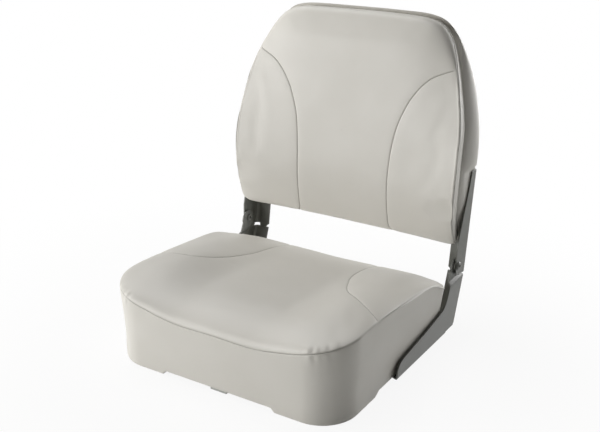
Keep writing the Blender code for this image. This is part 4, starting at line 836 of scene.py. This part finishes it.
def pan_head_screw(node, direction):
    """Pan-head screw with a cross recess; the shank runs along the direction."""
    low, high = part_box(node)
    direction = Vector(direction).normalized()
    centre = (low + high) / 2
    start = centre - direction * (SCREW_PROFILE[-1][1] / 2)
    piece = turned(node + "_piece", SCREW_PROFILE, 28, Matrix.Identity(4))
    cutter = bmesh.new()
    for turn in (0, math.pi / 2):
        made = bmesh.ops.create_cube(cutter, size=1)["verts"]
        bmesh.ops.scale(cutter, vec=CROSS_SIZE, verts=made)
        for vert in made:
            if vert.co.z > 0:
                vert.co.x *= 0.35
        bmesh.ops.rotate(cutter, cent=(0, 0, 0), matrix=Matrix.Rotation(turn, 3, "Z"), verts=made)
    tool = placed("cross_tool", cutter)
    cut = piece.modifiers.new("cross", "BOOLEAN")
    cut.operation = "DIFFERENCE"
    cut.solver = "EXACT"
    cut.use_self = True
    cut.object = tool
    applied(piece)
    bpy.data.objects.remove(tool)
    piece.data.transform(facing(start, direction))
    piece.data.shade_smooth()
    piece.data.set_sharp_from_angle(angle=math.radians(35))
    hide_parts(node)
    return piece


# Finishes

def linear(code):
    """An sRGB hex colour as linear red, green, blue and full alpha."""
    parts = [int(code[i:i + 2], 16) / 255 for i in (1, 3, 5)]
    return (*[c / 12.92 if c <= 0.04045 else ((c + 0.055) / 1.055) ** 2.4 for c in parts], 1)


def add(made, kind, inputs, **settings):
    """Adds a node with its settings; each input is a value or the socket that feeds it."""
    step = made.node_tree.nodes.new("ShaderNode" + kind)
    for key, value in settings.items():
        setattr(step, key, value)
    for key, value in inputs.items():
        if isinstance(value, bpy.types.NodeSocket):
            made.node_tree.links.new(value, step.inputs[key])
        else:
            step.inputs[key].default_value = value
    return step


def finish(name):
    """A new material and its Principled shader."""
    made = bpy.data.materials.new(name)
    made.use_nodes = True
    return made, made.node_tree.nodes["Principled BSDF"]


def marine_vinyl():
    """Coated marine vinyl: satin and slightly warm, with a fine leather grain, and painted shade along the seams and
    arcs.
    """
    made, shader = finish("marine_vinyl")
    place = add(made, "TexCoord", {}).outputs["Object"]
    gaps = [add(made, "Attribute", {}, attribute_name=name).outputs["Fac"] for name in ("seam_mm", "arc_mm")]
    gaps = [add(made, "Math", {0: gap}, operation="ABSOLUTE").outputs[0] for gap in gaps]
    gap = add(made, "Math", {0: gaps[0], 1: gaps[1]}, operation="MINIMUM").outputs[0]
    near = add(made, "Attribute", {}, attribute_name="near_mm").outputs["Fac"]
    # Painted shade: a thin dark line of #A3A098 laid along the crease of each seam and arc, also used as the
    # crease's bump
    crease_line_shade = add(made, "MapRange", {"Value": gap, 1: 0.1, 2: 0.7, 3: 1.0, 4: 0.0}, interpolation_type="SMOOTHSTEP")
    crease_line_shade = crease_line_shade.outputs[0]
    close = add(made, "MapRange", {"Value": near, 1: 1.5, 2: 2.5, 3: 1.0, 4: 0.0}).outputs[0]
    crease_line_shade = add(made, "Math", {0: crease_line_shade, 1: close}, operation="MULTIPLY").outputs[0]
    # Painted shade: the vinyl darkened towards #9E9A91 within 3 mm of the seams and arcs
    dip = add(made, "MapRange", {"Value": near, 1: 0.0, 2: 3.0, 3: 0.12, 4: 0.0}, interpolation_type="SMOOTHSTEP")
    dip = dip.outputs[0]
    soil = add(made, "TexNoise", {"Vector": place, "Scale": 1 / 0.06, "Detail": 3.0}).outputs[0]
    body = add(made, "Mix", {0: soil, 6: linear("#D2CFC8"), 7: linear("#CCC9C1")}, data_type="RGBA").outputs[2]
    body = add(made, "Mix", {0: dip, 6: body, 7: linear("#9E9A91")}, data_type="RGBA").outputs[2]
    body = add(made, "Mix", {0: crease_line_shade, 6: body, 7: linear("#A3A098")}, data_type="RGBA").outputs[2]
    made.node_tree.links.new(body, shader.inputs["Base Color"])
    # Grain cells of 1.5 mm, coarse enough to show, with 0.7 mm of fine unevenness on them
    grain = add(made, "TexVoronoi", {"Vector": place, "Scale": 1 / 0.0015}, feature="SMOOTH_F1").outputs["Distance"]
    fine = add(made, "TexNoise", {"Vector": place, "Scale": 1 / 0.0007, "Detail": 2.0}).outputs[0]
    relief = add(made, "Math", {0: grain, 1: fine}, operation="ADD").outputs[0]
    leather = add(made, "Bump", {"Strength": 0.25, "Distance": 0.00012, "Height": relief}).outputs[0]
    line = add(made, "Bump", {"Strength": 0.8, "Distance": 0.0006, "Height": crease_line_shade, "Normal": leather}, invert=True)
    made.node_tree.links.new(line.outputs[0], shader.inputs["Normal"])
    rough = add(made, "MapRange", {"Value": soil, 3: 0.40, 4: 0.50}).outputs[0]
    made.node_tree.links.new(rough, shader.inputs["Roughness"])
    shader.inputs["Specular IOR Level"].default_value = 0.5
    return made


def plain_finish(name, colours, rough, metallic=0.0, bump=(0.001, 0.00002), patch=0.02):
    """A painted, moulded or metal finish: two close tones in patches and a fine relief of a real size."""
    made, shader = finish(name)
    place = add(made, "TexCoord", {}).outputs["Object"]
    tone = add(made, "TexNoise", {"Vector": place, "Scale": 1 / patch, "Detail": 4.0}).outputs[0]
    tone = add(made, "MapRange", {"Value": tone, 1: 0.35, 2: 0.65}).outputs[0]
    body = add(made, "Mix", {0: tone, 6: linear(colours[0]), 7: linear(colours[1])}, data_type="RGBA").outputs[2]
    made.node_tree.links.new(body, shader.inputs["Base Color"])
    relief = add(made, "TexNoise", {"Vector": place, "Scale": 1 / bump[0], "Detail": 2.0}).outputs[0]
    grain = add(made, "Bump", {"Strength": 0.6, "Distance": bump[1], "Height": relief}).outputs[0]
    made.node_tree.links.new(grain, shader.inputs["Normal"])
    rough = add(made, "MapRange", {"Value": tone, 3: rough[0], 4: rough[1]}).outputs[0]
    made.node_tree.links.new(rough, shader.inputs["Roughness"])
    shader.inputs["Metallic"].default_value = metallic
    return made


vinyl = marine_vinyl()
# Grey powder coat on the bent sheet: satin, with orange peel about 2 mm across
hinge_coat = plain_finish("grey_powder_coat", ("#62635D", "#696A64"), (0.30, 0.38), bump=(0.002, 0.00004))
# Zinc-plated steel: bright, slightly blotched
zinc_steel = plain_finish("zinc_plated_steel", ("#8F8F8C", "#A2A29E"), (0.25, 0.40), metallic=1.0,
                          bump=(0.0006, 0.00001), patch=0.004)
# Moulded polypropylene: matt, fine spark-eroded texture
pan_plastic = plain_finish("moulded_polypropylene", ("#A6A7A2", "#ADAEA9"), (0.48, 0.56), bump=(0.0009, 0.00003))
# Moulded nylon in its natural colour: milky, smooth
nylon = plain_finish("natural_nylon", ("#DAD8D0", "#D2D0C8"), (0.42, 0.50))
# Turned brass: warm and bright, slightly uneven
insert_brass = plain_finish("turned_brass", ("#B79A5A", "#C3A768"), (0.25, 0.35), metallic=1.0, patch=0.005)


def coat(node, look):
    """Gives a CAD node its finish."""
    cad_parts[node].data.materials.clear()
    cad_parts[node].data.materials.append(look)


def dress(piece, look, body):
    """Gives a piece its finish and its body."""
    piece.data.materials.clear()
    piece.data.materials.append(look)
    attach(piece, body)
    return piece


seat = dress(seat_cushion(), vinyl, "seat")
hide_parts("seat_cover", "seat_foam")
back = dress(back_cushion(seat), vinyl, "backrest")
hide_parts("back_cover", "back_foam")

HINGE_LEAN = Vector((0, -1, HINGE_REAR[2]))
SHEET_EDGE = 0.00045
for side, sign in (("left", -1), ("right", 1)):
    dress(eased("hinge_lower_" + side, SHEET_EDGE), hinge_coat, "seat")
    dress(eased("hinge_upper_" + side, SHEET_EDGE), hinge_coat, "backrest")
    dress(pivot_rivet("pivot_rivet_" + side, sign), hinge_coat, "seat")
    for number in ("1", "2", "3"):
        screw = pan_head_screw(f"base_screw_{side}_{number}", (0, 0, 1))
        dress(screw, zinc_steel, "seat")
        screw = pan_head_screw(f"back_screw_{side}_{number}", HINGE_LEAN)
        dress(screw, zinc_steel, "backrest")
    coat("pivot_washer_" + side, nylon)
    for end in ("front", "rear"):
        coat(f"mount_insert_{end}_{side}", insert_brass)
dress(eased("seat_pan", 0.0004), pan_plastic, "seat")
coat("back_frame", pan_plastic)


# Studio: pale floor, soft lamps and the photograph's viewpoint.
# The floor is white to the camera, fading to its own shade and shadow under the seat, and bright in
# reflections close to the seat, which lightens the hinges low down

floor_form = bmesh.new()
bmesh.ops.create_grid(floor_form, x_segments=1, y_segments=1, size=6)
floor = placed("studio_floor", floor_form)
floor.data.transform(Matrix.Translation((0, 0, -0.0004)))
floor_look, floor_shader = finish("pale_floor")
floor_shader.inputs["Base Color"].default_value = linear("#F2F2F0")
floor_shader.inputs["Roughness"].default_value = 0.9
glow = add(floor_look, "Emission", {"Color": (1, 1, 1, 1), "Strength": 1.0}).outputs[0]
path = add(floor_look, "LightPath", {})
away = add(floor_look, "TexCoord", {}).outputs["Object"]
away = add(floor_look, "VectorMath", {0: away}, operation="LENGTH").outputs["Value"]
share = add(floor_look, "MapRange", {"Value": away, 1: 0.30, 2: 0.8, 3: 0.90, 4: 1.0},
            interpolation_type="SMOOTHSTEP").outputs[0]
near = add(floor_look, "MapRange", {"Value": away, 1: 0.50, 2: 0.56, 3: 1.0, 4: 0.0},
           interpolation_type="SMOOTHSTEP").outputs[0]
near = add(floor_look, "Math", {0: path.outputs["Is Glossy Ray"], 1: near}, operation="MULTIPLY").outputs[0]
share = add(floor_look, "Math", {0: path.outputs["Is Camera Ray"], 1: share, 2: near},
            operation="MULTIPLY_ADD").outputs[0]
blend = add(floor_look, "MixShader", {0: share, 1: floor_shader.outputs[0], 2: glow}).outputs[0]
floor_look.node_tree.links.new(blend, floor_look.node_tree.nodes["Material Output"].inputs["Surface"])
floor.data.materials.append(floor_look)

world = bpy.data.worlds.new("studio")
bpy.context.scene.world = world
world.use_nodes = True
sky = world.node_tree.nodes["Background"]
path = add(world, "LightPath", {})
level = add(world, "Math", {0: path.outputs["Is Glossy Ray"], 1: 0.8}, operation="MULTIPLY").outputs[0]
level = add(world, "Math", {0: path.outputs["Is Camera Ray"], 1: 1.0, 2: level}, operation="MULTIPLY_ADD").outputs[0]
world.node_tree.links.new(level, sky.inputs["Strength"])
sky.inputs["Color"].default_value = (1, 1, 1, 1)


def aimed(name, data, place, target):
    """A lamp or camera at a place, looking at a target."""
    holder = bpy.data.objects.new(name, data)
    bpy.context.scene.collection.objects.link(holder)
    holder.location = place
    holder.rotation_euler = (Vector(target) - Vector(place)).to_track_quat("-Z", "Y").to_euler()
    return holder


SOFT_LAMPS = (
    ("low_left_lamp", (-1.887, -1.089, 0.506), 28), ("low_front_lamp", (-1.089, -1.887, 0.506), 22),
    ("low_rear_lamp", (0.374, 2.119, 0.657), 19), ("low_right_lamp", (1.089, 1.887, 0.506), 15),
    ("high_left_lamp", (-1.093, 0.631, 2.002), 15), ("top_lamp", (-0.457, 0, 2.352), 13),
)
LAMP_SIZE = 1.4
MIDDLE_OF_SEAT = (0, 0, 0.2)
for name, place, watts in SOFT_LAMPS:
    light = bpy.data.lights.new(name, "AREA")
    light.size = LAMP_SIZE
    light.energy = watts
    aimed(name, light, place, MIDDLE_OF_SEAT)

scene = bpy.context.scene
camera = aimed("camera", bpy.data.cameras.new("camera"), (0.7266, -1.0924, 0.7182), (-0.1083, 0.2309, 0.1210))
camera.data.lens = 56.7
camera.data.sensor_width = 36
scene.camera = camera
scene.view_settings.view_transform = "Standard"
